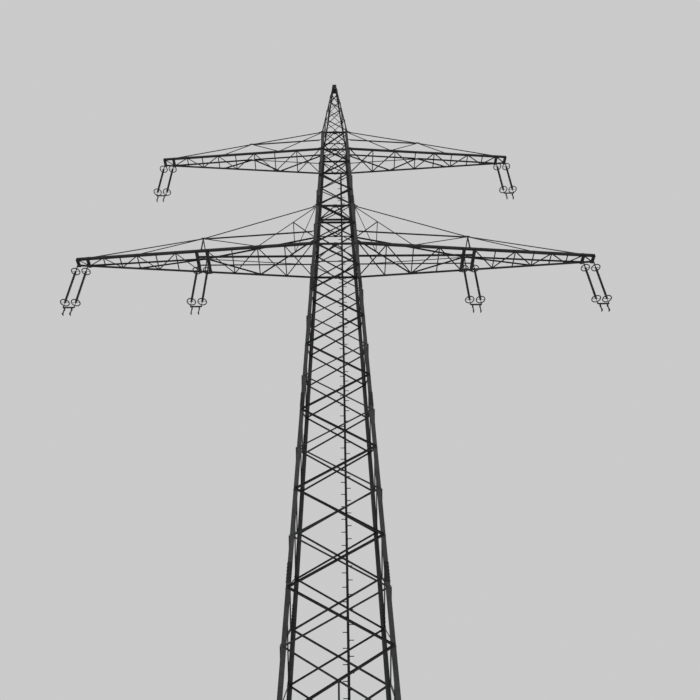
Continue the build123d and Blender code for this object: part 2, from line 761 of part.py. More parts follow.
def string_nodes():
    """The rods and the yoke of each double string, by name."""
    one_rod, one_yoke = rod(), yoke()
    nodes = {}
    for name, (x, z) in strings().items():
        nodes[f"rods_{name}"] = [Pos(x + side * ROD_SPACING / 2, 0, z) * one_rod for side in (-1, 1)]
        nodes[f"yoke_{name}"] = [Pos(x, 0, z) * one_yoke]
    return nodes


def write(nodes):
    """Write each node, moved so that the front left footing stands on the origin."""
    os.makedirs("parts", exist_ok=True)
    shift = Pos(footing_centre(), footing_centre(), 0)
    for name, solids in nodes.items():
        moved = [shift * solid for solid in solids]
        export_step(Compound(children=moved), f"parts/{name}.step")


write({**tower_nodes(), **arm_nodes(), **string_nodes()})
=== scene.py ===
"""Dresses a half-size lattice tower: joints, splices, climbing pegs, insulators and finishes.

All lengths are in metres of the half-size part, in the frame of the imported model: X along the
crossarms, Y along the line and Z up, with the front left footing's underside at the origin.
"""

import json
import logging
import math
from contextlib import contextmanager
from dataclasses import dataclass, field
from enum import Enum
from typing import Callable, Iterator, Optional, Sequence, Union

import bmesh
import bpy
from mathutils import Matrix, Vector

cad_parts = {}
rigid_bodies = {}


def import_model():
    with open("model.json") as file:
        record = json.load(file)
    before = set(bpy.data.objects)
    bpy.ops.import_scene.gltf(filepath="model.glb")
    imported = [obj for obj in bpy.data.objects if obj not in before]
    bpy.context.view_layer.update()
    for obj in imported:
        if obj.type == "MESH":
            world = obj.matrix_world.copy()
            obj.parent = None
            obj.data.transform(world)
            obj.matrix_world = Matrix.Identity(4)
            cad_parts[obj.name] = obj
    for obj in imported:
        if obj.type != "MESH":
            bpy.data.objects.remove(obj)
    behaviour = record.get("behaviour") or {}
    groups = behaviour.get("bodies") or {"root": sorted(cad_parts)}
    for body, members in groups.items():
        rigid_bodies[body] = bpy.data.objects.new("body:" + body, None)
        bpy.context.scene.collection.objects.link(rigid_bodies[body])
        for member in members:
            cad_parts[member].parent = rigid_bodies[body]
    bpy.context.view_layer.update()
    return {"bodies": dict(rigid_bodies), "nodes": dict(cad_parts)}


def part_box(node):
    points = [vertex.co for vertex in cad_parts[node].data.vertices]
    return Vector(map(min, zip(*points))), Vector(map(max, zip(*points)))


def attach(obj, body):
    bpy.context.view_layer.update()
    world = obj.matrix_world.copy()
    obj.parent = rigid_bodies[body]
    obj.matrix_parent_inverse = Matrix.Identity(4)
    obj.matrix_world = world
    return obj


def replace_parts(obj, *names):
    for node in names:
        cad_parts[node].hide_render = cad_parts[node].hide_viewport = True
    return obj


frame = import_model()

log = logging.getLogger("tower")

Object = bpy.types.Object
Colour = tuple[float, float, float, float]


# The tower's shape


class Side(Enum):
    """A face of the tower, by its turn from the front in degrees."""

    FRONT = 0
    RIGHT = 90
    BACK = 180
    LEFT = 270

    @property
    def carries_arms(self) -> bool:
        """Whether crossarms stand on this face."""
        return self in (Side.LEFT, Side.RIGHT)

    @property
    def first(self) -> int:
        """The leg, -1 left or 1 right as seen from outside, that the outer diagonals start at."""
        return -1 if self is Side.BACK else 1


def shares(start: float, end: float, count: int, growth: float) -> list[float]:
    """Divides a length into bays that shrink by a constant ratio.

    Args:
        start: First place.
        end: Last place.
        count: Number of bays.
        growth: Each bay over the next one.

    Returns:
        The places between the bays, both ends included.
    """
    sizes = [growth ** (count - 1 - k) for k in range(count)]
    places = [start]
    for size in sizes:
        places.append(places[-1] + (end - start) * size / sum(sizes))
    return places


@dataclass(frozen=True)
class TowerShape:
    """The tower's driving dimensions and where its members run, about its own axis."""

    axis: Vector
    base_half: float = 1.190
    shoulder_half: float = 0.438
    peak_half: float = 0.060
    footing_height: float = 0.200
    node_rise: float = 0.070
    body_z: float = 5.685
    lower_arm_z: float = 17.660
    lower_top_z: float = 19.605
    upper_arm_z: float = 22.970
    upper_top_z: float = 24.145
    peak_top_z: float = 28.230
    ring_width: float = 0.050
    leg_flange: float = 0.095
    leg_wall: float = 0.009
    brace_wall: float = 0.004
    gauge: float = 0.034

    @property
    def slope(self) -> float:
        """How far a face leans in for each metre of height."""
        return (self.base_half - self.shoulder_half) / self.upper_top_z

    @property
    def peak_slope(self) -> float:
        """How far a face of the peak leans in for each metre of height."""
        return (self.shoulder_half - self.peak_half) / (self.peak_top_z - self.upper_top_z)

    def half(self, z: float) -> float:
        """Finds half of the width over the legs.

        Args:
            z: The height.

        Returns:
            The half width there.
        """
        if z <= self.upper_top_z:
            return self.base_half - self.slope * z
        return self.shoulder_half - self.peak_slope * (z - self.upper_top_z)

    def levels(self) -> list[float]:
        """Finds the heights of the bracing joints.

        Returns:
            The heights, from the footings to the upper arm's top.
        """
        found = shares(self.footing_height + self.node_rise, self.body_z, 4, 1.05)
        found += shares(self.body_z, self.lower_arm_z, 11, 1.0098)[1:]
        found += shares(self.lower_arm_z, self.lower_top_z, 2, 1)[1:]
        found += shares(self.lower_top_z, self.upper_arm_z, 4, 1)[1:]
        return found + [self.upper_top_z - self.ring_width / 2]

    def rings(self) -> list[float]:
        """Heights of the four rings that the arms' chords meet."""
        top = self.upper_top_z - self.ring_width / 2
        return [self.lower_arm_z, self.lower_top_z, self.upper_arm_z, top]

    def peak_levels(self) -> list[float]:
        """Heights of the bracing joints of the peak."""
        return shares(self.upper_top_z + 0.024, self.peak_top_z - 0.012, 6, 1.16)

    def on_face(self, side: Side, across: float, z: float, out: float) -> Matrix:
        """Places a shape on a face, its Z pointing out of the tower.

        Args:
            side: The face.
            across: Place along the face, to the right as seen from outside.
            z: Height.
            out: Distance outwards from the legs' outer faces.

        Returns:
            The place and turn in the row frame.
        """
        lean = self.slope if z <= self.upper_top_z else self.peak_slope
        right = Vector((1, 0, 0))
        up = Vector((0, lean, 1)).normalized()
        normal = right.cross(up)
        point = Vector((across, -self.half(z), z)) + normal * out
        local = Matrix((right, up, normal)).transposed().to_4x4()
        local.translation = point
        turn = Matrix.Rotation(math.radians(side.value), 4, "Z")
        return Matrix.Translation(self.axis) @ turn @ local


@dataclass(frozen=True)
class ArmShape:
    """One pair of crossarms, described for the arm to +X about the tower's axis."""

    tower: TowerShape
    z: float
    top_z: float
    reach: float
    flange: float
    king: float
    foot: float
    outer_foot: float
    bays: tuple[tuple[float, float, int, float], ...]
    king_on_line: bool
    tip_width: float = 0.260
    chord_wall: float = 0.008
    top_chord: float = 0.034
    beam_width: float = 0.090
    rod_spacing: float = 0.300
    king_height: float = 0.600

    @property
    def root(self) -> float:
        """Half of the tower's width at the arm's bottom."""
        return self.tower.half(self.z)

    @property
    def run(self) -> float:
        """Change of the arm's half width for each metre along it."""
        return (self.tip_width / 2 - self.root) / (self.reach - self.root)

    @property
    def lean(self) -> float:
        """How far the arm's side leans in for each metre of height."""
        return self.tower.slope * (1 - self.run)

    @property
    def inner_beam(self) -> float:
        """Place of the tip box's inner beam."""
        return self.reach - self.beam_width / 2 - self.rod_spacing

    def half(self, x: float) -> float:
        """Half of the arm's width over its bottom chords."""
        return self.root + self.run * (x - self.root)

    def king_rise(self) -> float:
        """Finds the height of the king joint.

        Returns:
            Its height over the bottom chords.
        """
        if not self.king_on_line:
            return self.king_height
        high = self.top_z - self.z - self.top_chord
        share = (self.king - self.root) / (self.inner_beam - self.root)
        return high - share * (high - self.flange / 2)

    def stations(self) -> list[float]:
        """Finds the struts between the bottom chords.

        Returns:
            Their places along the arm.
        """
        found: list[float] = []
        for start, end, count, shrink in self.bays:
            found += shares(start, end, count, 1 / shrink)[(0 if found else 1):]
        return found + [self.reach - self.beam_width / 2]

    def on_side(self, x: float, rise: float, out: float, front: bool, left: bool) -> Matrix:
        """Places a shape on one side of an arm, its Z pointing out of the arm.

        Args:
            x: Place along the arm.
            rise: Height over the arm's bottom.
            out: Distance outwards from the chord's outer face.
            front: Whether it is the arm's front side before the arm is turned.
            left: Whether the arm is the one to -X.

        Returns:
            The place and turn in the row frame.
        """
        sign = 1 if front else -1
        right = Vector((sign, -self.run, 0)).normalized()
        up = Vector((0, sign * self.lean, 1)).normalized()
        normal = right.cross(up).normalized()
        up = normal.cross(right)
        point = Vector((x, -sign * (self.half(x) - self.lean * rise), self.z + rise))
        local = Matrix((right, up, normal)).transposed().to_4x4()
        local.translation = point + normal * out
        return self.turned(local, left)

    def on_floor(self, x: float, y: float, rise: float, left: bool, down: bool) -> Matrix:
        """Places a shape level on the arm's floor.

        Args:
            x: Place along the arm.
            y: Place across it.
            rise: Height over the arm's bottom.
            left: Whether the arm is the one to -X.
            down: Whether the shape's Z points down.

        Returns:
            The place and turn in the row frame.
        """
        local = Matrix.Translation((x, y, self.z + rise))
        if down:
            local = local @ Matrix.Rotation(math.pi, 4, "X")
        return self.turned(local, left)

    def turned(self, local: Matrix, left: bool) -> Matrix:
        """Carries a place on the arm to +X over to the row frame and the wanted arm."""
        turn = Matrix.Rotation(math.pi if left else 0.0, 4, "Z")
        return Matrix.Translation(self.tower.axis) @ turn @ local


# Hand tools


class Shop:
    """Blender's mesh operators, used on one object at a time as a hand would."""

    @staticmethod
    def clear() -> None:
        """Deselects every object."""
        bpy.ops.object.select_all(action="DESELECT")

    @staticmethod
    def hold(part: Object) -> None:
        """Selects one object and makes it the active one.

        Args:
            part: The object.
        """
        Shop.clear()
        part.select_set(True)
        bpy.context.view_layer.objects.active = part

    @staticmethod
    def settle(name: str) -> Object:
        """Names the new object and moves its place into its mesh.

        Args:
            name: The object's name.

        Returns:
            The object, at the origin and unturned.
        """
        part = bpy.context.object
        part.name = name
        bpy.ops.object.transform_apply(location=True, rotation=True, scale=True)
        return part

    @staticmethod
    def box(name: str, size: Sequence[float], centre: Sequence[float] = (0, 0, 0)) -> Object:
        """Adds a block.

        Args:
            name: The object's name.
            size: Its size along X, Y and Z.
            centre: Where its middle is.

        Returns:
            The block.
        """
        Shop.clear()
        bpy.ops.mesh.primitive_cube_add(size=1, location=centre, scale=size)
        return Shop.settle(name)

    @staticmethod
    def cylinder(name: str, radius: float, depth: float, sides: int, base: float = 0.0) -> Object:
        """Adds a bar about the Z axis.

        Args:
            name: The object's name.
            radius: Its radius.
            depth: Its length along Z.
            sides: Number of its sides.
            base: Height that it starts at.

        Returns:
            The bar.
        """
        Shop.clear()
        bpy.ops.mesh.primitive_cylinder_add(
            vertices=sides, radius=radius, depth=depth, location=(0, 0, base + depth / 2)
        )
        return Shop.settle(name)

    @staticmethod
    @contextmanager
    def editing(part: Object, kind: str = "FACE") -> Iterator[None]:
        """Opens an object in edit mode with nothing selected.

        Args:
            part: The object.
            kind: VERT, EDGE or FACE.

        Yields:
            Nothing. Object mode is back afterwards.
        """
        Shop.hold(part)
        bpy.ops.object.mode_set(mode="EDIT")
        bpy.ops.mesh.select_mode(type=kind)
        bpy.ops.mesh.select_all(action="DESELECT")
        yield
        bpy.ops.object.mode_set(mode="OBJECT")

    @staticmethod
    def whole() -> None:
        """Selects the whole of the mesh in edit mode."""
        bpy.ops.mesh.select_all(action="SELECT")

    @staticmethod
    def pick(part: Object, test: Callable[[Vector, Vector], bool]) -> None:
        """Selects some faces and no others.

        Args:
            part: The object in edit mode.
            test: Tells from a face's centre and normal whether it is selected.
        """
        mesh = bmesh.from_edit_mesh(part.data)
        for face in mesh.faces:
            face.select_set(test(face.calc_center_median(), face.normal))
        bmesh.update_edit_mesh(part.data)

    @staticmethod
    def pick_rims(part: Object) -> None:
        """Selects the open edges of a mesh in edit mode.

        Args:
            part: The object.
        """
        mesh = bmesh.from_edit_mesh(part.data)
        for edge in mesh.edges:
            edge.select_set(edge.is_boundary)
        bmesh.update_edit_mesh(part.data)

    @staticmethod
    def extrude(*move: float) -> None:
        """Extrudes what is selected by a distance along X, Y and Z."""
        bpy.ops.mesh.extrude_region_move(TRANSFORM_OT_translate={"value": move})

    @staticmethod
    def grow(scale: Sequence[float], centre: Sequence[float] = (0, 0, 0)) -> None:
        """Scales what is selected about a centre."""
        bpy.ops.transform.resize(value=scale, center_override=centre)

    @staticmethod
    def cut(normal: Sequence[float], *places: float) -> None:
        """Cuts the mesh in edit mode across a direction.

        Args:
            normal: The direction, of length 1.
            places: Distances from the origin along it.
        """
        for place in places:
            Shop.whole()
            middle = [place * step for step in normal]
            bpy.ops.mesh.bisect(plane_co=middle, plane_no=normal)

    @staticmethod
    def eased(
        part: Object, test: Callable[[Vector, Vector], bool], offset: float, segments: int
    ) -> Object:
        """Bevels some edges of an object.

        Args:
            part: The object.
            test: Tells from an edge's middle and direction whether it is bevelled.
            offset: The bevel's width.
            segments: Number of its steps.

        Returns:
            The object.
        """
        with Shop.editing(part, "EDGE"):
            mesh = bmesh.from_edit_mesh(part.data)
            for edge in mesh.edges:
                low, high = (corner.co for corner in edge.verts)
                edge.select_set(test((low + high) / 2, (high - low).normalized()))
            bmesh.update_edit_mesh(part.data)
            bpy.ops.mesh.bevel(offset=offset, segments=segments)
        return part

    @staticmethod
    def applied(part: Object, kind: str, **settings: object) -> None:
        """Adds a modifier to an object and applies it.

        Args:
            part: The object.
            kind: The modifier's type.
            settings: Its settings by name.
        """
        Shop.hold(part)
        modifier = part.modifiers.new(kind.lower(), kind)
        for key, value in settings.items():
            setattr(modifier, key, value)
        bpy.ops.object.modifier_apply(modifier=modifier.name)

    @staticmethod
    def smooth(degrees: float) -> None:
        """Smooths the active object's shading over edges that turn less than an angle."""
        bpy.ops.object.shade_smooth_by_angle(angle=math.radians(degrees))

    @staticmethod
    def outwards(part: Object) -> None:
        """Merges doubles and turns the faces outwards.

        Args:
            part: The object.
        """
        with Shop.editing(part):
            Shop.whole()
            bpy.ops.mesh.remove_doubles(threshold=0.00001)
            bpy.ops.mesh.normals_make_consistent(inside=False)

    @staticmethod
    def turned(part: Object, axis: str, place: Sequence[float] = (0, 0, 0)) -> Object:
        """Turns a shape by a quarter about the origin, then moves it."""
        part.data.transform(Matrix.Translation(place) @ Matrix.Rotation(math.pi / 2, 4, axis))
        return part

    @staticmethod
    def joined(name: str, parts: Sequence[Object]) -> Object:
        """Joins objects into the first of them.

        Args:
            name: Name of the result.
            parts: The objects.

        Returns:
            One object that holds all the meshes.
        """
        Shop.hold(parts[0])
        for part in parts[1:]:
            part.select_set(True)
        if len(parts) > 1:
            bpy.ops.object.join()
        parts[0].name = name
        return parts[0]

    @staticmethod
    def stamped(name: str, shape: Object, places: Sequence[Matrix]) -> Object:
        """Sets a shape down at many places and joins the copies.

        Args:
            name: Name of the result.
            shape: The shape, modelled at the origin. It stays as it is.
            places: Where the copies go.

        Returns:
            One object that holds every copy.
        """
        copies = []
        for place in places:
            mesh = shape.data.copy()
            mesh.transform(place)
            copies.append(bpy.data.objects.new(name, mesh))
            bpy.context.scene.collection.objects.link(copies[-1])
        return Shop.joined(name, copies)

    @staticmethod
    def discard(*shapes: Object) -> None:
        """Removes the shapes that copies were made from."""
        for shape in shapes:
            bpy.data.objects.remove(shape)

    @staticmethod
    def plate(name: str, size: Sequence[float], wall: float, cut: float) -> Object:
        """A steel plate with cut corners that lies on the XY plane.

        Args:
            name: The object's name.
            size: Its size along X and Y.
            wall: Its thickness, upwards from the plane.
            cut: How much of each corner is cut off.

        Returns:
            The plate, about the origin.
        """
        Shop.clear()
        bpy.ops.mesh.primitive_plane_add(size=1)
        bpy.context.object.scale = (*size, 1)
        part = Shop.settle(name)
        with Shop.editing(part, "VERT"):
            Shop.whole()
            if cut:
                bpy.ops.mesh.bevel(offset=cut, affect="VERTICES")
            Shop.whole()
            Shop.extrude(0, 0, wall)
        Shop.outwards(part)
        return part


@dataclass
class Hardware:
    """Bolts, nuts and packs, modelled once for the whole tower."""

    head_radius: float = 0.0098
    head_height: float = 0.0064
    chamfer: float = 0.0012
    washer_radius: float = 0.0118
    washer_wall: float = 0.0016
    thread: float = 0.0055
    pack_radius: float = 0.013
    pack_height: float = 0.009
    bolt: Object = field(init=False)
    nut: Object = field(init=False)
    pack: Object = field(init=False)

    def __post_init__(self) -> None:
        """Models the three shapes."""
        self.bolt = self._hexagon("bolt", False)
        self.nut = self._hexagon("nut", True)
        self.pack = self._pack()

    def _hexagon(self, name: str, threaded: bool) -> Object:
        """Models a chamfered hexagon on its washer.

        Args:
            name: The object's name.
            threaded: Whether it is a nut, with the bolt's end in it.

        Returns:
            The shape, on the XY plane.
        """
        top = self.washer_wall + self.head_height
        head = Shop.cylinder(name, self.head_radius, self.head_height, 6, self.washer_wall)
        with Shop.editing(head):
            Shop.pick(head, lambda centre, normal: normal.z > 0.9)
            Shop.extrude(0, 0, self.chamfer)
            Shop.grow((0.84, 0.84, 1), (0, 0, top))
            if threaded:
                bpy.ops.mesh.inset(thickness=self.head_radius * 0.36)
                Shop.extrude(0, 0, self.thread)
        washer = Shop.cylinder("washer", self.washer_radius, self.washer_wall, 8)
        return Shop.joined(name, [head, washer])

    def _pack(self) -> Object:
        """Models a round distance piece that stands between two flanges.

        Returns:
            The shape, on the XY plane.
        """
        pack = Shop.cylinder("pack", self.pack_radius, self.pack_height, 8)
        with Shop.editing(pack):
            Shop.pick(pack, lambda centre, normal: abs(normal.z) > 0.9)
            bpy.ops.mesh.inset(thickness=self.pack_radius * 0.2)
        return pack

    def discard(self) -> None:
        """Removes the three shapes."""
        Shop.discard(self.bolt, self.nut, self.pack)


def moved(
    place: Matrix,
    x: float = 0.0,
    y: float = 0.0,
    z: float = 0.0,
    size: float = 1.0,
    over: bool = False,
) -> Matrix:
    """Moves a place in its own directions, sizes its shape and can turn the shape over."""
    found = place @ Matrix.Translation((x, y, z)) @ Matrix.Scale(size, 4)
    return found @ Matrix.Rotation(math.pi, 4, "Y") if over else found


# Rolled sections


@dataclass(frozen=True)
class Bar:
    """A straight bar: its ends, the way out of its plane and the way its standing edge faces."""

    start: Vector
    end: Vector
    out: Vector
    edge: Vector

    def place(self, short: float = 0.0) -> Matrix:
        """Where a section of unit length goes, stretched along the bar.

        Args:
            short: How far it stops short of each end.

        Returns:
            The place, turn and stretch: X along the bar, Y to the standing edge, Z out.
        """
        start, end = self.start, self.end
        along = (end - start).normalized()
        if self.out.cross(along).dot(self.edge) < 0:
            start, end, along = end, start, -along
        turn = Matrix((along, self.out.cross(along), self.out)).transposed().to_4x4()
        turn.translation = start + along * short
        return turn @ Matrix.Scale((end - start).length - 2 * short, 4, (1, 0, 0))


@dataclass
class RolledAngle:
    """An angle of unit length along X: a flat leg under the XY plane, and one on its +Y edge."""

    width: float
    depth: float
    wall: float
    flat: Object = field(init=False)
    standing: Object = field(init=False)

    def __post_init__(self) -> None:
        """Models the two legs."""
        wall = self.wall
        self.flat = self._leg("flat", (1, self.width, wall), (0.5, 0, -wall / 2))
        middle = (0.5, self.width / 2 - wall / 2, -self.depth / 2)
        self.standing = self._leg("standing", (1, wall, self.depth), middle)

    def _is_toe(self, middle: Vector, along: Vector) -> bool:
        """Tells whether an edge is the inner one at the end of a leg.

        Args:
            middle: The edge's middle.
            along: Its direction.

        Returns:
            Whether it is.
        """
        inside = middle.y < self.width / 2 - self.wall / 2 and middle.z < -self.wall / 2
        at_end = middle.y < 0.0001 - self.width / 2 or middle.z < 0.0001 - self.depth
        return abs(along.x) > 0.9 and inside and at_end

    def _leg(self, name: str, size: Sequence[float], centre: Sequence[float]) -> Object:
        """A leg with a rounded toe."""
        return Shop.eased(Shop.box(name, size, centre), self._is_toe, self.wall * 0.6, 2)

    def laid(self, name: str, bars: Sequence[Bar], cope: float) -> Object:
        """Lays the angle along many bars.

        Args:
            name: Name of the result.
            bars: The bars.
            cope: How far the standing leg is cut back at each end.

        Returns:
            One object that holds every bar.
        """
        flats = Shop.stamped(name, self.flat, [bar.place() for bar in bars])
        stood = Shop.stamped(name, self.standing, [bar.place(cope) for bar in bars])
        return Shop.joined(name, [flats, stood])

    def discard(self) -> None:
        """Removes the two legs."""
        Shop.discard(self.flat, self.standing)


# Shader tools

Value = Union["Wire", float, Colour, Vector]


class Wire:
    """An output of a material's graph that arithmetic turns into Math nodes."""

    def __init__(self, graph: "Graph", socket: bpy.types.NodeSocket) -> None:
        """Keeps the graph and the socket."""
        self.graph = graph
        self.socket = socket

    def _math(self, operation: str, first: Value, second: Value) -> "Wire":
        """Adds one Math node on two values."""
        return self.graph.wire("ShaderNodeMath", {"operation": operation}, {0: first, 1: second})

    def __add__(self, other: Value) -> "Wire":
        """self + other."""
        return self._math("ADD", self, other)

    def __radd__(self, other: Value) -> "Wire":
        """other + self."""
        return self._math("ADD", other, self)

    def __sub__(self, other: Value) -> "Wire":
        """self - other."""
        return self._math("SUBTRACT", self, other)

    def __rsub__(self, other: Value) -> "Wire":
        """other - self."""
        return self._math("SUBTRACT", other, self)

    def __mul__(self, other: Value) -> "Wire":
        """self * other."""
        return self._math("MULTIPLY", self, other)

    def __rmul__(self, other: Value) -> "Wire":
        """other * self."""
        return self._math("MULTIPLY", other, self)


class Graph:
    """The node graph of one material."""

    def __init__(self, name: str) -> None:
        """Makes an empty material.

        Args:
            name: The material's name.
        """
        self.material = bpy.data.materials.new(name)
        self.material.use_nodes = True
        self.tree = self.material.node_tree
        self.tree.nodes.clear()
        self.place = self.wire("ShaderNodeTexCoord", output="Object")

    def node(
        self,
        kind: str,
        settings: Optional[dict] = None,
        sockets: Optional[dict] = None,
    ) -> bpy.types.Node:
        """Adds a node.

        Args:
            kind: Blender's name of the node's type.
            settings: The node's own settings, and a ramp's stops as pairs of place and colour.
            sockets: Values or wires for its inputs, by name or number.

        Returns:
            The node.
        """
        node = self.tree.nodes.new(kind)
        for key, value in (settings or {}).items():
            if key == "stops":
                for element, (position, colour) in zip(node.color_ramp.elements, value):
                    element.position = position
                    element.color = colour
            else:
                setattr(node, key, value)
        for key, value in (sockets or {}).items():
            if isinstance(value, Wire):
                self.tree.links.new(value.socket, node.inputs[key])
            else:
                node.inputs[key].default_value = value
        return node

    def wire(
        self,
        kind: str,
        settings: Optional[dict] = None,
        sockets: Optional[dict] = None,
        output: Union[int, str] = 0,
    ) -> Wire:
        """Adds a node and gives one of its outputs, as node() does."""
        return Wire(self, self.node(kind, settings, sockets).outputs[output])

    def noise(
        self, scale: float, detail: float = 4.0, stretch: Sequence[float] = (1, 1, 1)
    ) -> Wire:
        """Soft noise between 0 and 1 on the object's own coordinates.

        Args:
            scale: Its fineness.
            detail: Its octaves.
            stretch: Factors on the coordinates, small where the pattern is drawn out.

        Returns:
            The noise.
        """
        mapping = {"Vector": self.place, "Scale": tuple(stretch)}
        place = self.wire("ShaderNodeMapping", None, mapping)
        sockets = {"Vector": place, "Scale": scale, "Detail": detail, "Roughness": 0.6}
        return self.wire("ShaderNodeTexNoise", None, sockets)

    def cells(self, scale: float) -> Wire:
        """Flat patches of random brightness, as of crystals in a zinc coat.

        Args:
            scale: Their fineness.

        Returns:
            The brightness.
        """
        sockets = {"Vector": self.place, "Scale": scale}
        colour = self.wire("ShaderNodeTexVoronoi", None, sockets, "Color")
        return self.wire("ShaderNodeSeparateColor", None, {"Color": colour})

    def between(self, value: Wire, low: float, high: float) -> Wire:
        """A mask that is 0 under low and 1 over high."""
        sockets = {"Value": value, "From Min": low, "From Max": high}
        return self.wire("ShaderNodeMapRange", {"clamp": True}, sockets)

    def mix(self, share: Value, first: Value, second: Value) -> Wire:
        """A colour between two colours."""
        settings = {"data_type": "RGBA"}
        return self.wire("ShaderNodeMix", settings, {0: share, 6: first, 7: second}, 2)

    def bump(self, height: Wire, strength: float, distance: float) -> Wire:
        """A normal that follows a height."""
        sockets = {"Height": height, "Strength": strength, "Distance": distance}
        return self.wire("ShaderNodeBump", None, sockets)

    def finish(self, sockets: dict) -> bpy.types.Material:
        """Ends the graph in a principled shader.

        Args:
            sockets: Values or wires for the shader's inputs, by name.

        Returns:
            The material.
        """
        shader = self.wire("ShaderNodeBsdfPrincipled", None, sockets)
        self.node("ShaderNodeOutputMaterial", None, {"Surface": shader})
        return self.material


def grey(value: float, warmth: float = 0.0) -> Colour:
    """A grey, warmer or cooler by a small share."""
    return (value * (1 + warmth), value, value * (1 - warmth), 1.0)


# Finishes


@dataclass(frozen=True)
class WeatheredZinc:
    """Hot-dip zinc with rain streaks and a little rust, darker than zinc's own colour: partly a
    dull patina, partly painted shade.
    """

    name: str
    # Painted shade in part: both greys are darker than dulled zinc, so the steel reads near black
    # as if in shadow.
    dark: Colour = grey(0.015, -0.02)
    light: Colour = grey(0.046, -0.03)
    rust: Colour = (0.052, 0.022, 0.011, 1.0)
    rust_share: float = 0.55
    crystal: float = 42.0
    metallic: float = 0.30
    roughness: float = 0.58
    specular: float = 0.22

    def build(self) -> bpy.types.Material:
        """Makes the material.

        Returns:
            The material.
        """
        graph = Graph(self.name)
        patches = graph.noise(1.1, 6.0)
        cloud = graph.noise(6.5, 5.0)
        streaks = graph.noise(9.0, 4.0, (1.0, 1.0, 0.06))
        crystals = graph.cells(self.crystal)
        grain = graph.noise(240.0, 3.0)
        tone = patches * 0.55 + cloud * 0.5 + crystals * 0.12 - 0.06
        zinc = graph.mix(graph.between(tone, 0.3, 0.78), self.dark, self.light)
        run = graph.between(streaks, 0.56, 0.7)
        zinc = graph.mix(run * 0.5, zinc, grey(0.010))
        chalk = graph.between(graph.noise(3.7, 7.0), 0.6, 0.74)
        zinc = graph.mix(chalk * 0.3, zinc, grey(0.085, -0.02))
        spots = graph.between(graph.noise(21.0, 6.0), 0.6, 0.7)
        runs = graph.between(graph.noise(14.0, 3.0, (1.0, 1.0, 0.12)), 0.62, 0.74)
        rusty = (spots * 0.7 + runs * 0.5) * graph.between(patches, 0.45, 0.62) * self.rust_share
        colour = graph.mix(rusty, zinc, self.rust)
        rough = self.roughness + cloud * 0.16 + grain * 0.08 + rusty * 0.2 - crystals * 0.05
        height = grain * 0.5 + cloud * 0.3 + rusty * 0.6 + crystals * 0.1
        return graph.finish(
            {
                "Base Color": colour,
                "Metallic": self.metallic * (1 - rusty),
                "Roughness": rough,
                "Specular IOR Level": self.specular,
                "Normal": graph.bump(height, 0.35, 0.0012),
            }
        )


@dataclass(frozen=True)
class BrownGlaze:
    """Dark brown porcelain glaze with dust on what faces up; its browns are darkened past the
    glaze's own colour as painted shade.
    """

    name: str
    # Painted shade in part: the deep and warm browns are darkened so the rods read near black, as
    # in shadow.
    deep: Colour = (0.0065, 0.0040, 0.0032, 1.0)
    warm: Colour = (0.0165, 0.0085, 0.0060, 1.0)
    dust: Colour = (0.034, 0.031, 0.028, 1.0)

    def build(self) -> bpy.types.Material:
        """Makes the material.

        Returns:
            The material.
        """
        graph = Graph(self.name)
        pool = graph.noise(26.0, 4.0)
        specks = graph.noise(420.0, 2.0)
        glaze = graph.mix(graph.between(pool, 0.35, 0.68), self.deep, self.warm)
        glaze = graph.mix(graph.between(specks, 0.64, 0.72) * 0.5, glaze, self.deep)
        normal = graph.wire("ShaderNodeNewGeometry", None, None, "Normal")
        up = graph.wire("ShaderNodeSeparateXYZ", None, {"Vector": normal}, "Z")
        dusty = graph.between(up, 0.15, 0.9) * graph.between(graph.noise(60.0, 5.0), 0.3, 0.75)
        colour = graph.mix(dusty * 0.45, glaze, self.dust)
        return graph.finish(
            {
                "Base Color": colour,
                "Roughness": 0.16 + dusty * 0.5 + pool * 0.06,
                "Coat Weight": 0.15 * (1 - dusty),
                "Coat Roughness": 0.08,
                "Specular IOR Level": 0.3,
                "Normal": graph.bump(pool * 0.8 + specks * 0.2, 0.12, 0.0008),
            }
        )


@dataclass(frozen=True)
class PierConcrete:
    """Cast concrete with fine pits and damp at its foot."""

    name: str
    dark: Colour = grey(0.20, 0.03)
    light: Colour = grey(0.42, 0.04)

    def build(self) -> bpy.types.Material:
        """Makes the material.

        Returns:
            The material.
        """
        graph = Graph(self.name)
        cloud = graph.noise(4.0, 7.0)
        fine = graph.noise(55.0, 6.0)
        grit = graph.noise(330.0, 3.0)
        height = graph.wire("ShaderNodeSeparateXYZ", None, {"Vector": graph.place}, "Z")
        holes = graph.wire("ShaderNodeTexVoronoi", None, {"Vector": graph.place, "Scale": 38.0})
        pits = (1 - graph.between(holes, 0.06, 0.16)) * graph.between(fine, 0.5, 0.6)
        boards = graph.between(graph.noise(8.0, 2.0, (0.05, 0.05, 2.5)), 0.45, 0.6)
        tone = cloud * 0.6 + fine * 0.35 + boards * 0.12 - 0.05
        body = graph.mix(graph.between(tone, 0.28, 0.8), self.dark, self.light)
        damp = (1 - graph.between(height, 0.0, 0.11)) * graph.between(cloud, 0.25, 0.6)
        body = graph.mix(damp * 0.55, body, grey(0.09, 0.05))
        stain = graph.between(graph.noise(11.0, 4.0, (1.0, 1.0, 0.15)), 0.56, 0.7)
        body = graph.mix(stain * 0.35, body, (0.17, 0.10, 0.055, 1.0))
        # Painted shade: the pits are painted near black, standing in for the shade inside the
        # small holes.
        body = graph.mix(pits * 0.8, body, grey(0.06))
        relief = fine * 0.5 + grit * 0.3 + cloud * 0.4 + boards * 0.3 - pits * 1.2
        return graph.finish(
            {
                "Base Color": body,
                "Roughness": 0.86 + grit * 0.1 - damp * 0.2,
                "Normal": graph.bump(relief, 0.6, 0.004),
            }
        )


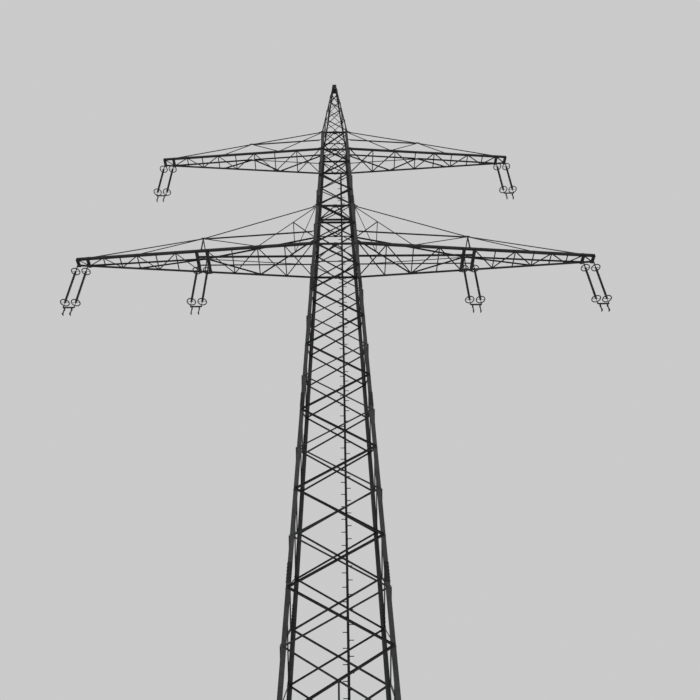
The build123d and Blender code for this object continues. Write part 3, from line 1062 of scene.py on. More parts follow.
class Finish(Enum):
    """The finishes of the tower's pieces."""

    STEEL = WeatheredZinc("weathered_zinc")
    # Painted light: the legs get a lighter copy of the same zinc, standing in for the light
    # falling on their broad faces.
    LEG = WeatheredZinc("leg_zinc", grey(0.032, -0.02), grey(0.085, -0.03))
    PLATE = WeatheredZinc("plate_zinc", grey(0.014, -0.01), grey(0.041, -0.02), crystal=60.0)
    BOLT = WeatheredZinc("bolt_zinc", grey(0.017), grey(0.055), rust_share=1.1, roughness=0.5)
    FITTING = WeatheredZinc(
        "forged_zinc", grey(0.018), grey(0.055), rust_share=0.4, metallic=0.45, roughness=0.46
    )
    GLAZE = BrownGlaze("brown_glaze")
    CONCRETE = PierConcrete("pier_concrete")


class Paint:
    """Gives pieces their finish, each material made once."""

    made: dict[Finish, bpy.types.Material] = {}

    @classmethod
    def on(cls, part: Object, finish: Finish) -> None:
        """Assigns a finish to the whole of a piece.

        Args:
            part: The piece.
            finish: The finish.
        """
        if finish not in cls.made:
            cls.made[finish] = finish.value.build()
        part.data.materials.clear()
        part.data.materials.append(cls.made[finish])


def hand_over(part: Object, body: str, finish: Finish) -> Object:
    """Finishes a piece and lets it ride on a body.

    Args:
        part: The piece.
        body: The body that it moves with.
        finish: Its finish.

    Returns:
        The piece.
    """
    Paint.on(part, finish)
    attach(part, body)
    log.info("%s: %d faces on %s", part.name, len(part.data.polygons), body)
    return part


def fitted(name: str, finish: Finish, *lots: tuple[Object, Sequence[Matrix]]) -> Object:
    """Sets steel shapes, each at its places, down on the tower as one piece."""
    parts = [Shop.stamped(name, shape, places) for shape, places in lots]
    return hand_over(Shop.joined(name, parts), "tower", finish)


# Sub-assemblies


@dataclass
class FaceJoints:
    """Bolts and packs of the four braced faces."""

    tower: TowerShape
    hardware: Hardware
    first_bolt: float = 0.014
    second_bolt: float = 0.056
    seat: float = 0.110
    nut_size: float = 0.9

    def bars(self, side: Side, outer: bool) -> Iterator[tuple[Vector, Vector]]:
        """Ends of a face's diagonals, as place across and height.

        Args:
            side: The face.
            outer: Whether the diagonals outside the legs are meant, or those inside.

        Yields:
            The lower and the upper end of each diagonal.
        """
        levels = self.tower.levels()
        start = side.first if outer else -side.first
        for k, (low, high) in enumerate(zip(levels, levels[1:])):
            sign = start if k % 2 == 0 else -start
            a = Vector((sign * (self.tower.half(low) - self.tower.gauge), low))
            b = Vector((-sign * (self.tower.half(high) - self.tower.gauge), high))
            yield a, b

    def on_seat(self, side: Side, z: float) -> bool:
        """Whether an arm's chord ends on the leg at that height of the face."""
        places = (self.tower.lower_arm_z, self.tower.upper_arm_z)
        return side.carries_arms and any(abs(z - place) < self.seat for place in places)

    def bolts(self, side: Side) -> tuple[list[Matrix], list[Matrix], list[Matrix]]:
        """Finds where the bolts of a face go.

        Args:
            side: The face.

        Returns:
            Places of the heads, the nuts and the packs.
        """
        tower = self.tower
        heads, nuts, packs = [], [], []
        wall, brace = tower.leg_wall, tower.brace_wall
        for outer in (True, False):
            for a, b in self.bars(side, outer):
                along = (b - a).normalized()
                ends = []
                for end, way in ((a, along), (b, -along)):
                    if not (outer and self.on_seat(side, end.y)):
                        ends += [end + way * self.first_bolt, end + way * self.second_bolt]
                for across, z in ends:
                    heads.append(tower.on_face(side, across, z, brace if outer else 0))
                    back = tower.on_face(side, across, z, -wall if outer else -wall - brace)
                    nuts.append(moved(back, size=self.nut_size, over=True))
                if outer and not self.on_seat(side, (a.y + b.y) / 2):
                    z = (a + (b - a) * (a.x / (a.x - b.x))).y
                    heads.append(tower.on_face(side, 0, z, brace))
                    nuts.append(moved(tower.on_face(side, 0, z, -wall - brace), over=True))
                    packs.append(tower.on_face(side, 0, z, -wall))
        return heads, nuts, packs

    def build(self) -> None:
        """Sets the bolts, nuts and packs of each face."""
        for side in Side:
            heads, nuts, packs = self.bolts(side)
            name = side.name.lower()
            lots = (self.hardware.bolt, heads), (self.hardware.nut, nuts)
            fitted(f"bolts_{name}", Finish.BOLT, *lots)
            fitted(f"packs_{name}", Finish.PLATE, (self.hardware.pack, packs))


@dataclass
class LegSplices:
    """Cover plates with two rows of bolts, where the lengths of leg angle meet."""

    tower: TowerShape
    hardware: Hardware
    above: tuple[int, ...] = (0, 1, 5, 9, 13, 17)
    rise: float = 0.110
    length: float = 0.430
    width: float = 0.082
    wall: float = 0.005
    corner: float = 0.008
    column: float = 0.022
    rows: int = 6
    end_distance: float = 0.030
    bolt_size: float = 0.95

    def build(self) -> None:
        """Sets every cover plate with its bolts."""
        tower, size = self.tower, self.bolt_size
        levels = tower.levels()
        plate = Shop.plate("cover", (self.width, self.length), self.wall, self.corner)
        pitch = (self.length - 2 * self.end_distance) / (self.rows - 1)
        steps = [(row - (self.rows - 1) / 2) * pitch for row in range(self.rows)]
        covers, heads, nuts = [], [], []
        for side in Side:
            for z in (levels[index] + self.rise + self.length / 2 for index in self.above):
                for hand in (-1, 1):
                    across = hand * (tower.half(z) - tower.leg_flange / 2)
                    cover = tower.on_face(side, across, z, 0)
                    covers.append(cover)
                    for y in steps:
                        for x in (-self.column, self.column):
                            heads.append(moved(cover, x, y, self.wall, size))
                            nuts.append(moved(cover, x, y, -tower.leg_wall, size, over=True))
        fitted("splice_plates", Finish.PLATE, (plate, covers))
        lots = (self.hardware.bolt, heads), (self.hardware.nut, nuts)
        fitted("splice_bolts", Finish.BOLT, *lots)
        Shop.discard(plate)


@dataclass
class RingPlates:
    """Gussets of the four rings: at the middles, under the diaphragms and at the arms' roots."""

    tower: TowerShape
    hardware: Hardware
    wall: float = 0.005
    middle_size: tuple[float, float] = (0.104, 0.066)
    middle_corner: float = 0.018
    middle_bolts: tuple[float, ...] = (-0.038, -0.013, 0.013, 0.038)
    middle_bolt_rise: float = 0.004
    under_depth: float = 0.045
    under_rise: float = 0.0043
    under_bolts: tuple[tuple[float, float], ...] = (
        (-0.036, 0.008), (0.036, 0.008), (-0.015, -0.018), (0.015, -0.018)
    )
    root_size: tuple[float, float] = (0.100, 0.100)
    root_corner: float = 0.030
    root_lap: float = 0.028
    root_rise: float = 0.022
    root_columns: tuple[float, ...] = (-0.033, 0.0, 0.033)
    root_rows: tuple[float, ...] = (-0.030, 0.004)
    small_root: float = 0.62
    skin: float = 0.0005

    def middles(self, side: Side, z: float) -> tuple[list[Matrix], list[Matrix]]:
        """Finds the plates at the middle of one side of a ring.

        Args:
            side: The side.
            z: The ring's height.

        Returns:
            Places of the plates behind the member and under the tie, and of their bolts.
        """
        tower = self.tower
        inner = tower.on_face(side, 0, z, -tower.leg_wall)
        corner = Matrix.Translation(tower.axis)
        corner = corner @ Matrix.Rotation(math.radians(side.value), 4, "Z")
        reach = tower.half(z) - tower.leg_wall - self.under_depth
        low = z - tower.ring_width / 2 + self.under_rise
        under = moved(corner, 0, -reach, low) @ Matrix.Rotation(math.pi, 4, "X")
        rise = self.middle_bolt_rise
        heads = [moved(inner, x, rise, self.wall, 0.7) for x in self.middle_bolts]
        heads += [moved(under, x, y, self.wall, 0.6) for x, y in self.under_bolts]
        return [inner, under], heads

    def root(self, side: Side, z: float, hand: int) -> tuple[Matrix, list[Matrix]]:
        """Finds the plate where an arm's chord meets the tower.

        Args:
            side: The front or the back.
            z: The ring's height.
            hand: -1 for the leg to the left, 1 for the one to the right.

        Returns:
            Place of the plate, and places of its bolts.
        """
        tower = self.tower
        size = 1.0 if z in (tower.lower_arm_z, tower.upper_arm_z) else self.small_root
        across = hand * (tower.half(z) + self.root_size[0] * size / 2 - self.root_lap)
        place = tower.on_face(side, across, z + self.root_rise * size, self.skin)
        place = moved(place, size=size)
        heads = [
            moved(place, x, y, self.wall, 0.8) for x in self.root_columns for y in self.root_rows
        ]
        return place, heads

    def build(self) -> None:
        """Sets the plates and bolts."""
        middle = Shop.plate("middle", self.middle_size, self.wall, self.middle_corner)
        root = Shop.plate("root", self.root_size, self.wall, self.root_corner)
        middles, roots, heads = [], [], []
        for z in self.tower.rings():
            for side in Side:
                plates, bolts = self.middles(side, z)
                middles += plates
                heads += bolts
            for side in (Side.FRONT, Side.BACK):
                for hand in (-1, 1):
                    place, bolts = self.root(side, z, hand)
                    roots.append(place)
                    heads += bolts
        fitted("ring_gussets", Finish.PLATE, (middle, middles), (root, roots))
        fitted("ring_bolts", Finish.BOLT, (self.hardware.bolt, heads))
        Shop.discard(middle, root)


@dataclass
class RingAngles:
    """Angles that stiffen the rings' front and back members and the ties between them."""

    tower: TowerShape
    width: float = 0.052
    depth: float = 0.040
    wall: float = 0.005
    cope: float = 0.030
    skin: float = -0.014
    end_gap: float = 0.016
    tie_drop: float = 0.0218
    tie_gap: float = 0.100

    def face_bar(self, side: Side, z: float, edge: float) -> Bar:
        """Finds the angle behind a ring's member.

        Args:
            side: The face.
            z: The ring's height.
            edge: 1 where the standing leg is above, -1 where it is below.

        Returns:
            The bar.
        """
        reach = self.tower.half(z) - self.end_gap
        start, end = (self.tower.on_face(side, hand * reach, z, self.skin) for hand in (-1, 1))
        out = start.to_3x3().col[2]
        return Bar(start.translation, end.translation, out, Vector((0, 0, edge)))

    def tie_bar(self, z: float, y: float) -> Bar:
        """Finds the angle along one of a ring's ties, its standing leg on the front edge.

        Args:
            z: The ring's height.
            y: The tie's distance behind the tower's axis.

        Returns:
            The bar.
        """
        middle = self.tower.axis + Vector((0, y, z - self.tie_drop))
        along = Vector((self.tower.half(z) - self.end_gap, 0, 0))
        return Bar(middle - along, middle + along, Vector((0, 0, -1)), Vector((0, -1, 0)))

    def build(self) -> None:
        """Lays the angles in the four rings."""
        tower = self.tower
        angle = RolledAngle(self.width, self.depth, self.wall)
        bars = [self.face_bar(Side.FRONT, z, -1.0) for z in tower.rings()]
        bars += [self.face_bar(Side.BACK, z, 1.0) for z in (tower.lower_arm_z, tower.upper_arm_z)]
        bars.append(self.tie_bar(tower.upper_arm_z, 0.0))
        bars += [self.tie_bar(tower.lower_top_z, hand * self.tie_gap / 2) for hand in (-1, 1)]
        angles = angle.laid("ring_angles", bars, self.cope)
        hand_over(angles, "tower", Finish.STEEL)
        angle.discard()


@dataclass
class PeakPlates:
    """The plated top of the peak and the bolts of its bracing and cap."""

    tower: TowerShape
    hardware: Hardware
    depth: float = 0.360
    wall: float = 0.003
    inset: float = 0.012
    bolt_inset: float = 0.022
    bolt_rise: float = 0.020
    bolt_size: float = 0.6
    cap_wall: float = 0.012
    cap_bolt: float = 0.052
    cap_bolt_size: float = 0.8

    def plates(self) -> None:
        """Sets the four plates, each narrower above than below."""
        tower, top = self.tower, self.tower.peak_top_z - self.inset
        low, high = (tower.half(z) - self.inset for z in (top - self.depth, top))
        sheet = Shop.plate("sheet", (2 * low, self.depth), self.wall, 0)
        with Shop.editing(sheet):
            Shop.pick(sheet, lambda centre, normal: normal.y > 0.9)
            Shop.grow((high / low, 1, 1), (0, self.depth / 2, 0))
        middle = top - self.depth / 2
        places = [tower.on_face(side, 0, middle, -self.inset) for side in Side]
        fitted("peak_plates", Finish.PLATE, (sheet, places))
        Shop.discard(sheet)

    def build(self) -> None:
        """Sets the plates and the bolts."""
        self.plates()
        tower, size = self.tower, self.bolt_size
        heads = []
        levels = tower.peak_levels()
        for side in Side:
            for a, b in zip(levels, levels[1:]):
                for z in (a + self.bolt_rise, b - self.bolt_rise):
                    for hand in (-1, 1):
                        across = hand * (tower.half(z) - self.bolt_inset)
                        heads.append(moved(tower.on_face(side, across, z, self.wall), size=size))
                middle = a + (b - a) * tower.half(a) / (tower.half(a) + tower.half(b))
                heads.append(moved(tower.on_face(side, 0, middle, self.wall), size=size))
        cap = Matrix.Translation(tower.axis + Vector((0, 0, tower.peak_top_z + self.cap_wall)))
        for x in (-self.cap_bolt, self.cap_bolt):
            for y in (-self.cap_bolt, self.cap_bolt):
                heads.append(moved(cap, x, y, size=self.cap_bolt_size))
        fitted("peak_bolts", Finish.BOLT, (self.hardware.bolt, heads))


@dataclass
class ClimbingRail:
    """A channel up the back face, with pegs to the left and the right of it in turn."""

    tower: TowerShape
    radius: float = 0.0098
    length: float = 0.084
    head: float = 0.004
    pitch: float = 0.1665
    start: float = 0.175
    width: float = 0.054
    depth: float = 0.022
    wall: float = 0.004
    across: float = -0.200
    skin: float = -0.031
    low_z: float = 1.250

    def channel(self) -> Object:
        """Models a channel of unit length along X, its web under the XY plane.

        Returns:
            The channel.
        """
        parts = [Shop.box("web", (1, self.width, self.wall), (0.5, 0, -self.wall / 2))]
        for hand in (-1, 1):
            place = (0.5, hand * (self.width - self.wall) / 2, -self.depth / 2)
            leg = Shop.box("leg", (1, self.wall, self.depth), place)
            parts.append(Shop.eased(leg, self._is_toe, self.wall * 0.35, 1))
        return Shop.joined("channel", parts)

    def _is_toe(self, middle: Vector, along: Vector) -> bool:
        """Whether an edge is one at the end of a leg."""
        return abs(along.x) > 0.9 and middle.z < -self.depth / 2

    def rail(self) -> None:
        """Lays the channel up the face, in place of its CAD node."""
        channel = self.channel()
        low, high = (
            self.tower.on_face(Side.BACK, self.across, z, self.skin)
            for z in (self.low_z, self.tower.upper_arm_z)
        )
        bar = Bar(low.translation, high.translation, low.to_3x3().col[2], Vector((1, 0, 0)))
        rail = fitted("rail_channel", Finish.STEEL, (channel, [bar.place()]))
        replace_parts(rail, "climbing_rail")
        Shop.discard(channel)

    def peg(self) -> Object:
        """Models a peg along +X with a nut at its foot and a head at its end.

        Returns:
            The peg.
        """
        peg = Shop.cylinder("peg", self.radius, self.length, 8)
        end = (0, 0, self.length)
        with Shop.editing(peg):
            Shop.pick(peg, lambda centre, normal: normal.z > 0.9)
            Shop.extrude(0, 0, 0.0003)
            Shop.grow((1.5, 1.5, 1), end)
            Shop.extrude(0, 0, self.head)
            Shop.grow((0.8, 0.8, 1), end)
        nut = Shop.cylinder("nut", self.radius * 1.6, 0.006, 6)
        return Shop.turned(Shop.joined("peg", [peg, nut]), "Y")

    def build(self) -> None:
        """Lays the rail and sets its pegs from its foot to its top."""
        low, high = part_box("climbing_rail")
        self.rail()
        peg = self.peg()
        places = []
        count = int((high.z - low.z - 2 * self.start) / self.pitch) + 1
        for k in range(count):
            z = low.z + self.start + k * self.pitch
            y = self.tower.axis.y + self.tower.half(z) + self.skin - self.depth / 2
            turn = Matrix.Rotation(math.pi * ((k + 1) % 2), 4, "Z")
            foot = Matrix.Translation(((low.x + high.x) / 2, y, z)) @ turn
            places.append(moved(foot, self.width / 2))
        fitted("climbing_pegs", Finish.BOLT, (peg, places))
        Shop.discard(peg)


@dataclass
class ArmJoints:
    """Gussets and bolts of one pair of crossarms."""

    name: str
    arm: ArmShape
    hardware: Hardware
    wall: float = 0.005
    wide_size: tuple[float, float] = (0.146, 0.086)
    wide_corner: float = 0.026
    top_reach: float = 0.046
    top_drop: float = 0.012
    top_share: float = 0.72
    strut_reach: float = 0.012
    strut_share: float = 0.60
    wide_bolts: tuple[tuple[float, float], ...] = (
        (-0.052, 0.0), (-0.022, 0.0), (0.022, 0.0), (0.052, 0.0), (0.0, -0.028)
    )
    narrow_size: tuple[float, float] = (0.120, 0.085)
    narrow_corner: float = 0.024
    narrow_depth: float = 0.004
    foot_steps: tuple[float, ...] = (-0.036, 0.0, 0.036)
    floor_steps: tuple[float, ...] = (-0.026, 0.0, 0.026)
    floor_rise: float = 0.012
    bolt_size: float = 0.75

    def gussets(self, left: bool) -> tuple[list[Matrix], list[Matrix], list[Matrix]]:
        """Finds the plates of an arm's two sides.

        Args:
            left: Whether the arm is the one to -X.

        Returns:
            Places of the large plates, the small plates and the bolts.
        """
        arm, size = self.arm, self.bolt_size
        large, small, heads = [], [], []
        skin = -arm.chord_wall
        rise, high = arm.king_rise(), arm.top_z - arm.z - arm.top_chord
        top = (arm.tower.half(arm.top_z) + self.top_reach, high - self.top_drop)
        strut = (arm.tower.half(arm.z + rise) + self.strut_reach, rise)
        joints = ((arm.king, rise), 1.0), (top, self.top_share), (strut, self.strut_share)
        feet = [arm.foot, arm.outer_foot, arm.inner_beam]
        if not arm.king_on_line:
            feet.append(arm.king)
        for front in (True, False):
            for (x, z), share in joints:
                place = moved(arm.on_side(x, z, skin, front, left), size=share)
                large.append(place)
                heads += [moved(place, *bolt, self.wall, size) for bolt in self.wide_bolts]
            for x in feet:
                behind = skin - self.narrow_depth
                place = arm.on_side(x, arm.flange * 0.75, behind, front, left)
                small.append(moved(place, over=True))
                outside = arm.on_side(x, arm.flange / 2, 0, front, left)
                heads += [moved(outside, step, size=size) for step in self.foot_steps]
        return large, small, heads

    def floor_bolts(self, left: bool) -> list[Matrix]:
        """Finds the bolts through the chords' lower flanges and those of the beams.

        Args:
            left: Whether the arm is the one to -X.

        Returns:
            Their places.
        """
        arm = self.arm
        places = []
        for station in arm.stations():
            for sign in (-1, 1):
                y = sign * (arm.half(station) - arm.flange / 2)
                for x in (station + step for step in self.floor_steps):
                    down = arm.on_floor(x, y, 0, left, True)
                    up = arm.on_floor(x, y, self.floor_rise, left, False)
                    places += [moved(place, size=self.bolt_size) for place in (down, up)]
        return places

    def build(self) -> None:
        """Sets the plates and bolts of both arms."""
        wide = Shop.plate("wide", self.wide_size, self.wall, self.wide_corner)
        narrow = Shop.plate("narrow", self.narrow_size, self.wall, self.narrow_corner)
        for side in ("left", "right"):
            left = side == "left"
            large, small, heads = self.gussets(left)
            heads += self.floor_bolts(left)
            fitted(f"{self.name}_{side}_gussets", Finish.PLATE, (wide, large), (narrow, small))
            fitted(f"{self.name}_{side}_bolts", Finish.BOLT, (self.hardware.bolt, heads))
        Shop.discard(wide, narrow)


@dataclass
class ArmTrusses:
    """The leaning sides of one pair of crossarms, in place of their CAD nodes."""

    name: str
    arm: ArmShape
    chord: RolledAngle
    brace: RolledAngle
    cope: float = 0.050
    gap: float = 0.010

    def trimmed(self, x: float, rise: float, end: tuple[float, float]) -> tuple[float, float]:
        """Moves a bar's inner end along its line to just outside the leg.

        Args:
            x: Place of the inner end along the arm.
            rise: Its height over the arm's bottom.
            end: Place and height of the outer end.

        Returns:
            Place and height of the new inner end.
        """
        tower = self.arm.tower
        run, climb = end[0] - x, end[1] - rise
        face = tower.half(self.arm.z + rise) + self.gap - x
        share = face / (run + tower.slope * climb)
        return x + share * run, rise + share * climb

    def lines(self) -> tuple[list, list, list]:
        """Finds the lines of one side's bars.

        Returns:
            The ends of the chords, braces and strut, as place along the arm and height.
        """
        arm = self.arm
        inner = arm.tower.half(arm.top_z) - arm.tower.leg_flange / 2
        high = arm.top_z - arm.z - arm.top_chord
        low = arm.flange / 2
        king = (arm.king, arm.king_rise())
        foot = (arm.foot, low)
        chords = [
            (self.trimmed(inner, high, king), king),
            (king, (arm.inner_beam, low)),
        ]
        braces = [
            (self.trimmed(inner, high, foot), foot),
            (king, foot),
            (king, (arm.outer_foot, low)),
        ]
        if not arm.king_on_line:
            braces.append(((arm.king, low), king))
        return chords, braces, [(self.trimmed(inner, king[1], king), king)]

    def bars(self, lines: Sequence, left: bool, edge: float = 1.0) -> list[Bar]:
        """The bars along some lines, on the two sides of an arm.

        Args:
            lines: The bars' ends.
            left: Whether the arm is the one to -X.
            edge: 1 where the upper edge carries the standing leg, -1 where the lower one does.

        Returns:
            The bars, front side first.
        """
        found = []
        for front in (True, False):
            for ends in lines:
                start, end = (
                    self.arm.on_side(x, rise, -self.arm.chord_wall, front, left)
                    for x, rise in ends
                )
                out = start.to_3x3().col[2]
                found.append(Bar(start.translation, end.translation, out, Vector((0, 0, edge))))
        return found

    def build(self) -> None:
        """Lays the bars of both arms."""
        chords, braces, struts = self.lines()
        for side in ("left", "right"):
            left = side == "left"
            parts = [
                self.chord.laid("chords", self.bars(chords, left), self.cope),
                self.brace.laid("braces", self.bars(braces, left), self.cope),
                self.brace.laid("struts", self.bars(struts, left, -1.0), self.cope),
            ]
            truss = Shop.joined(f"{self.name}_{side}_truss_angles", parts)
            hand_over(truss, "tower", Finish.STEEL)
            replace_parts(truss, f"{self.name}_{side}_trusses")


@dataclass
class Walkway:
    """Two angle stringers in each lower arm, uprights outwards, in place of their CAD node."""

    arm: ArmShape
    flange: float = 0.045
    wall: float = 0.005
    offset: float = 0.140
    rise: float = 0.026
    clearance: float = 0.0003

    def build(self) -> None:
        """Lays the stringers from the tower to the outer one of the middle beams."""
        arm = self.arm
        angle = RolledAngle(self.flange, self.flange, self.wall)
        bars = []
        for left in (True, False):
            for hand in (-1, 1):
                start, end = (
                    arm.on_floor(x, hand * self.offset, self.rise, left, False).translation
                    for x in (arm.root + self.clearance, arm.bays[1][0])
                )
                outer = Vector((0, start.y - arm.tower.axis.y, 0))
                bars.append(Bar(start, end, Vector((0, 0, -1)), outer))
        stringers = angle.laid("walkway_stringers", bars, 0)
        hand_over(stringers, "tower", Finish.STEEL)
        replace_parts(stringers, "walkway")
        angle.discard()


@dataclass
class StringKit:
    """The pieces of one insulator string, modelled once about the middle of its pins."""

    spacing: float = 0.300
    cap_start: float = 0.285
    cap_length: float = 0.060
    cap_radius: float = 0.0190
    rod_length: float = 1.280
    core_radius: float = 0.0255
    shed_radius: float = 0.0325
    sheds: int = 58
    ring_radius: float = 0.1180
    ring_bar: float = 0.0150
    shank_radius: float = 0.008
    fork_slot: float = 0.0124
    eye_slot: float = 0.0116
    strap: tuple[float, float] = (0.024, 0.006)
    strap_gap: float = 0.022
    strap_bolt_inset: float = 0.014
    head_radius: float = 0.0095
    yoke_top: float = 1.832
    yoke_height: float = 0.052
    yoke_wall: float = 0.014
    yoke_lap: float = 0.042
    clamp_drop: float = 1.930
    clamp_radius: float = 0.0165
    clamp_waist: float = 0.72
    clamp_length: float = 0.096
    bundle: float = 0.200
    bore: float = 0.0056

    @property
    def rod_bottom(self) -> float:
        """Height of the porcelain's lower end."""
        return -self.cap_start - self.cap_length - self.rod_length

    def rod_body(self) -> Object:
        """Models the shedded body, spun from its profile and repeated along the rod.

        Returns:
            The body.
        """
        pitch = self.rod_length / self.sheds
        core, rim = self.core_radius, self.shed_radius
        profile = ((core, 0.0), (core, 0.30), (rim, 0.52), (rim * 0.985, 0.66), (core, 1.0))
        Shop.clear()
        bpy.ops.mesh.primitive_plane_add(size=pitch)
        shed = Shop.settle("porcelain")
        with Shop.editing(shed, "VERT"):
            Shop.whole()
            bpy.ops.mesh.merge(type="CENTER")
            bpy.ops.transform.translate(value=(core, 0, 0))
            for (x0, z0), (x1, z1) in zip(profile, profile[1:]):
                Shop.extrude(x1 - x0, 0, (z1 - z0) * pitch)
            Shop.whole()
            bpy.ops.mesh.spin(steps=12, angle=2 * math.pi, center=(0, 0, 0), axis=(0, 0, 1))
        Shop.outwards(shed)
        Shop.applied(
            shed,
            "ARRAY",
            count=self.sheds,
            use_relative_offset=False,
            use_constant_offset=True,
            constant_offset_displace=(0, 0, pitch),
            use_merge_vertices=True,
            merge_threshold=0.0001,
        )
        with Shop.editing(shed, "EDGE"):
            Shop.pick_rims(shed)
            bpy.ops.mesh.edge_face_add()
        Shop.smooth(38)
        shed.data.transform(Matrix.Translation((0, 0, self.rod_bottom)))
        return shed

    def cap(self, top: float) -> Object:
        """Models a stepped metal cap that holds the end of a rod.

        Args:
            top: Height of its narrow end. The wide one is below.

        Returns:
            The cap.
        """
        cap = Shop.cylinder("cap", self.cap_radius * 0.62, 0.010, 16, top - 0.010)
        steps = ((1.35, self.cap_length - 0.022), (1.1, 0.003), (1.12, 0.009))
        with Shop.editing(cap):
            Shop.pick(cap, lambda centre, normal: normal.z < -0.9)
            for share, depth in steps:
                Shop.grow((share, share, 1), (0, 0, top))
                Shop.extrude(0, 0, -depth)
        Shop.smooth(35)
        return cap

    def ring(self, z: float) -> Object:
        """Models a round arcing ring about the rod, on two flat arms with a collar.

        Args:
            z: Its height.

        Returns:
            The ring.
        """
        Shop.clear()
        bpy.ops.mesh.primitive_torus_add(
            major_segments=36,
            minor_segments=8,
            major_radius=self.ring_radius,
            minor_radius=self.ring_bar,
            location=(0, 0, z),
        )
        ring = Shop.settle("ring")
        bpy.ops.object.shade_smooth()
        collar = Shop.cylinder("collar", self.cap_radius * 1.16, 0.014, 16, z - 0.007)
        with Shop.editing(collar):
            Shop.pick(collar, lambda centre, normal: abs(normal.z) > 0.9)
            bpy.ops.mesh.inset(thickness=0.002)
        parts = [ring, collar]
        for hand in (-1, 1):
            length = self.ring_radius - self.cap_radius
            place = (hand * (self.cap_radius + length / 2), 0, z)
            arm = Shop.box("arm", (length, 0.012, 0.004), place)
            with Shop.editing(arm):
                Shop.pick(arm, lambda centre, normal: normal.x * hand > 0.9)
                Shop.grow((1, 0.7, 1.5), place)
            parts.append(arm)
        return Shop.joined("ring", parts)

    def fork(self) -> Object:
        """Models the clevis round the beam's lug, its pin and the straps down to the cap.

        Returns:
            The fork.
        """
        slot = self.fork_slot / 2
        body = Shop.box("fork", (0.0344, 0.026, 0.050), (0, 0, -0.013))
        with Shop.editing(body):
            Shop.cut((1, 0, 0), -slot, slot)
            Shop.pick(body, lambda centre, normal: normal.z > 0.9 and abs(centre.x) < slot)
            Shop.extrude(0, 0, -0.040)
        Shop.applied(body, "BEVEL", width=0.0022, segments=2, limit_method="ANGLE")
        pin = Shop.cylinder("pin", 0.0056, 0.050, 12, -0.025)
        head = Shop.cylinder("head", self.head_radius, 0.005, 6, 0.0195)
        nut = Shop.cylinder("nut", self.head_radius, 0.006, 6, -0.0235)
        pin = Shop.turned(Shop.joined("pin", [pin, head, nut]), "Y")
        return Shop.joined("fork", [body, pin, *self.straps(0, -0.030, 0.012 - self.cap_start)])

    def straps(self, x: float, top: float, bottom: float) -> list[Object]:
        """Models two straps side by side with rounded ends and a bolt near each end.

        Args:
            x: Place of their middle along the yoke.
            top: Height of their upper ends.
            bottom: Height of their lower ends.

        Returns:
            The straps and the bolts.
        """
        parts = []
        for y in (-self.strap_gap / 2, self.strap_gap / 2):
            place = (x, y, (top + bottom) / 2)
            strap = Shop.box("strap", (*self.strap, top - bottom), place)
            parts.append(Shop.eased(strap, lambda middle, along: abs(along.y) > 0.9, 0.008, 2))
        for z in (top - self.strap_bolt_inset, bottom + self.strap_bolt_inset):
            parts.append(self.strap_bolt(x, z))
        return parts

    def strap_bolt(self, x: float, z: float) -> Object:
        """Models a bolt along the line through a pair of straps.

        Args:
            x: Its place along the yoke.
            z: Its height.

        Returns:
            The bolt.
        """
        pin = Shop.cylinder("pin", 0.0055, 0.042, 8, -0.021)
        head = Shop.cylinder("head", self.head_radius, 0.006, 6, 0.014)
        return Shop.turned(Shop.joined("pin", [pin, head]), "X", (x, 0, z))

    def tail(self) -> Object:
        """Models the eye link from the lower cap to the yoke.

        Returns:
            The link.
        """
        low, slot = -self.yoke_top, self.eye_slot / 2
        length = self.rod_bottom - self.cap_length - low
        link = Shop.cylinder("link", self.shank_radius, length, 12, low)
        with Shop.editing(link):
            Shop.cut((0, 0, 1), *(low + length * share for share in (0.2, 0.45, 0.7)))
            Shop.pick(link, lambda centre, normal: centre.z < low + length * 0.19)
            Shop.grow((1.5, 1.5, 1), (0, 0, low))
        eye = Shop.box("eye", (0.030, 0.024, 0.046), (0, 0, low - 0.006))
        with Shop.editing(eye):
            Shop.cut((0, 1, 0), -slot, slot)
            Shop.pick(eye, lambda centre, normal: normal.z < -0.9 and abs(centre.y) < slot)
            Shop.extrude(0, 0, 0.036)
        pin = Shop.cylinder("pin", 0.006, 0.038, 10, -0.019)
        return Shop.joined("tail", [link, eye, Shop.turned(pin, "X", (0, 0, low - 0.016))])

    def yoke(self) -> Object:
        """Models the plate between the two rods, wider above than below.

        Returns:
            The plate.
        """
        size = (self.spacing + self.yoke_lap, self.yoke_height)
        plate = Shop.plate("yoke", size, self.yoke_wall, 0.008)
        with Shop.editing(plate):
            Shop.pick(plate, lambda centre, normal: normal.y < -0.7)
            Shop.grow((0.86, 1, 1), (0, -self.yoke_height / 2, 0))
        middle = -self.yoke_top - self.yoke_height / 2
        return Shop.turned(plate, "X", (0, self.yoke_wall / 2, middle))

    def hanger(self, x: float) -> Object:
        """Models the straps from the yoke past both clamps, with a bolt over each clamp.

        Args:
            x: Their place along the yoke.

        Returns:
            The hanger.
        """
        top = -self.yoke_top - self.yoke_height * 0.35
        bottom = -self.clamp_drop - self.bundle - 0.010
        parts = self.straps(x, top, bottom)
        for drop in (self.clamp_drop, self.clamp_drop + self.bundle):
            parts.append(self.strap_bolt(x, 0.026 - drop))
        return Shop.joined("hanger", parts)

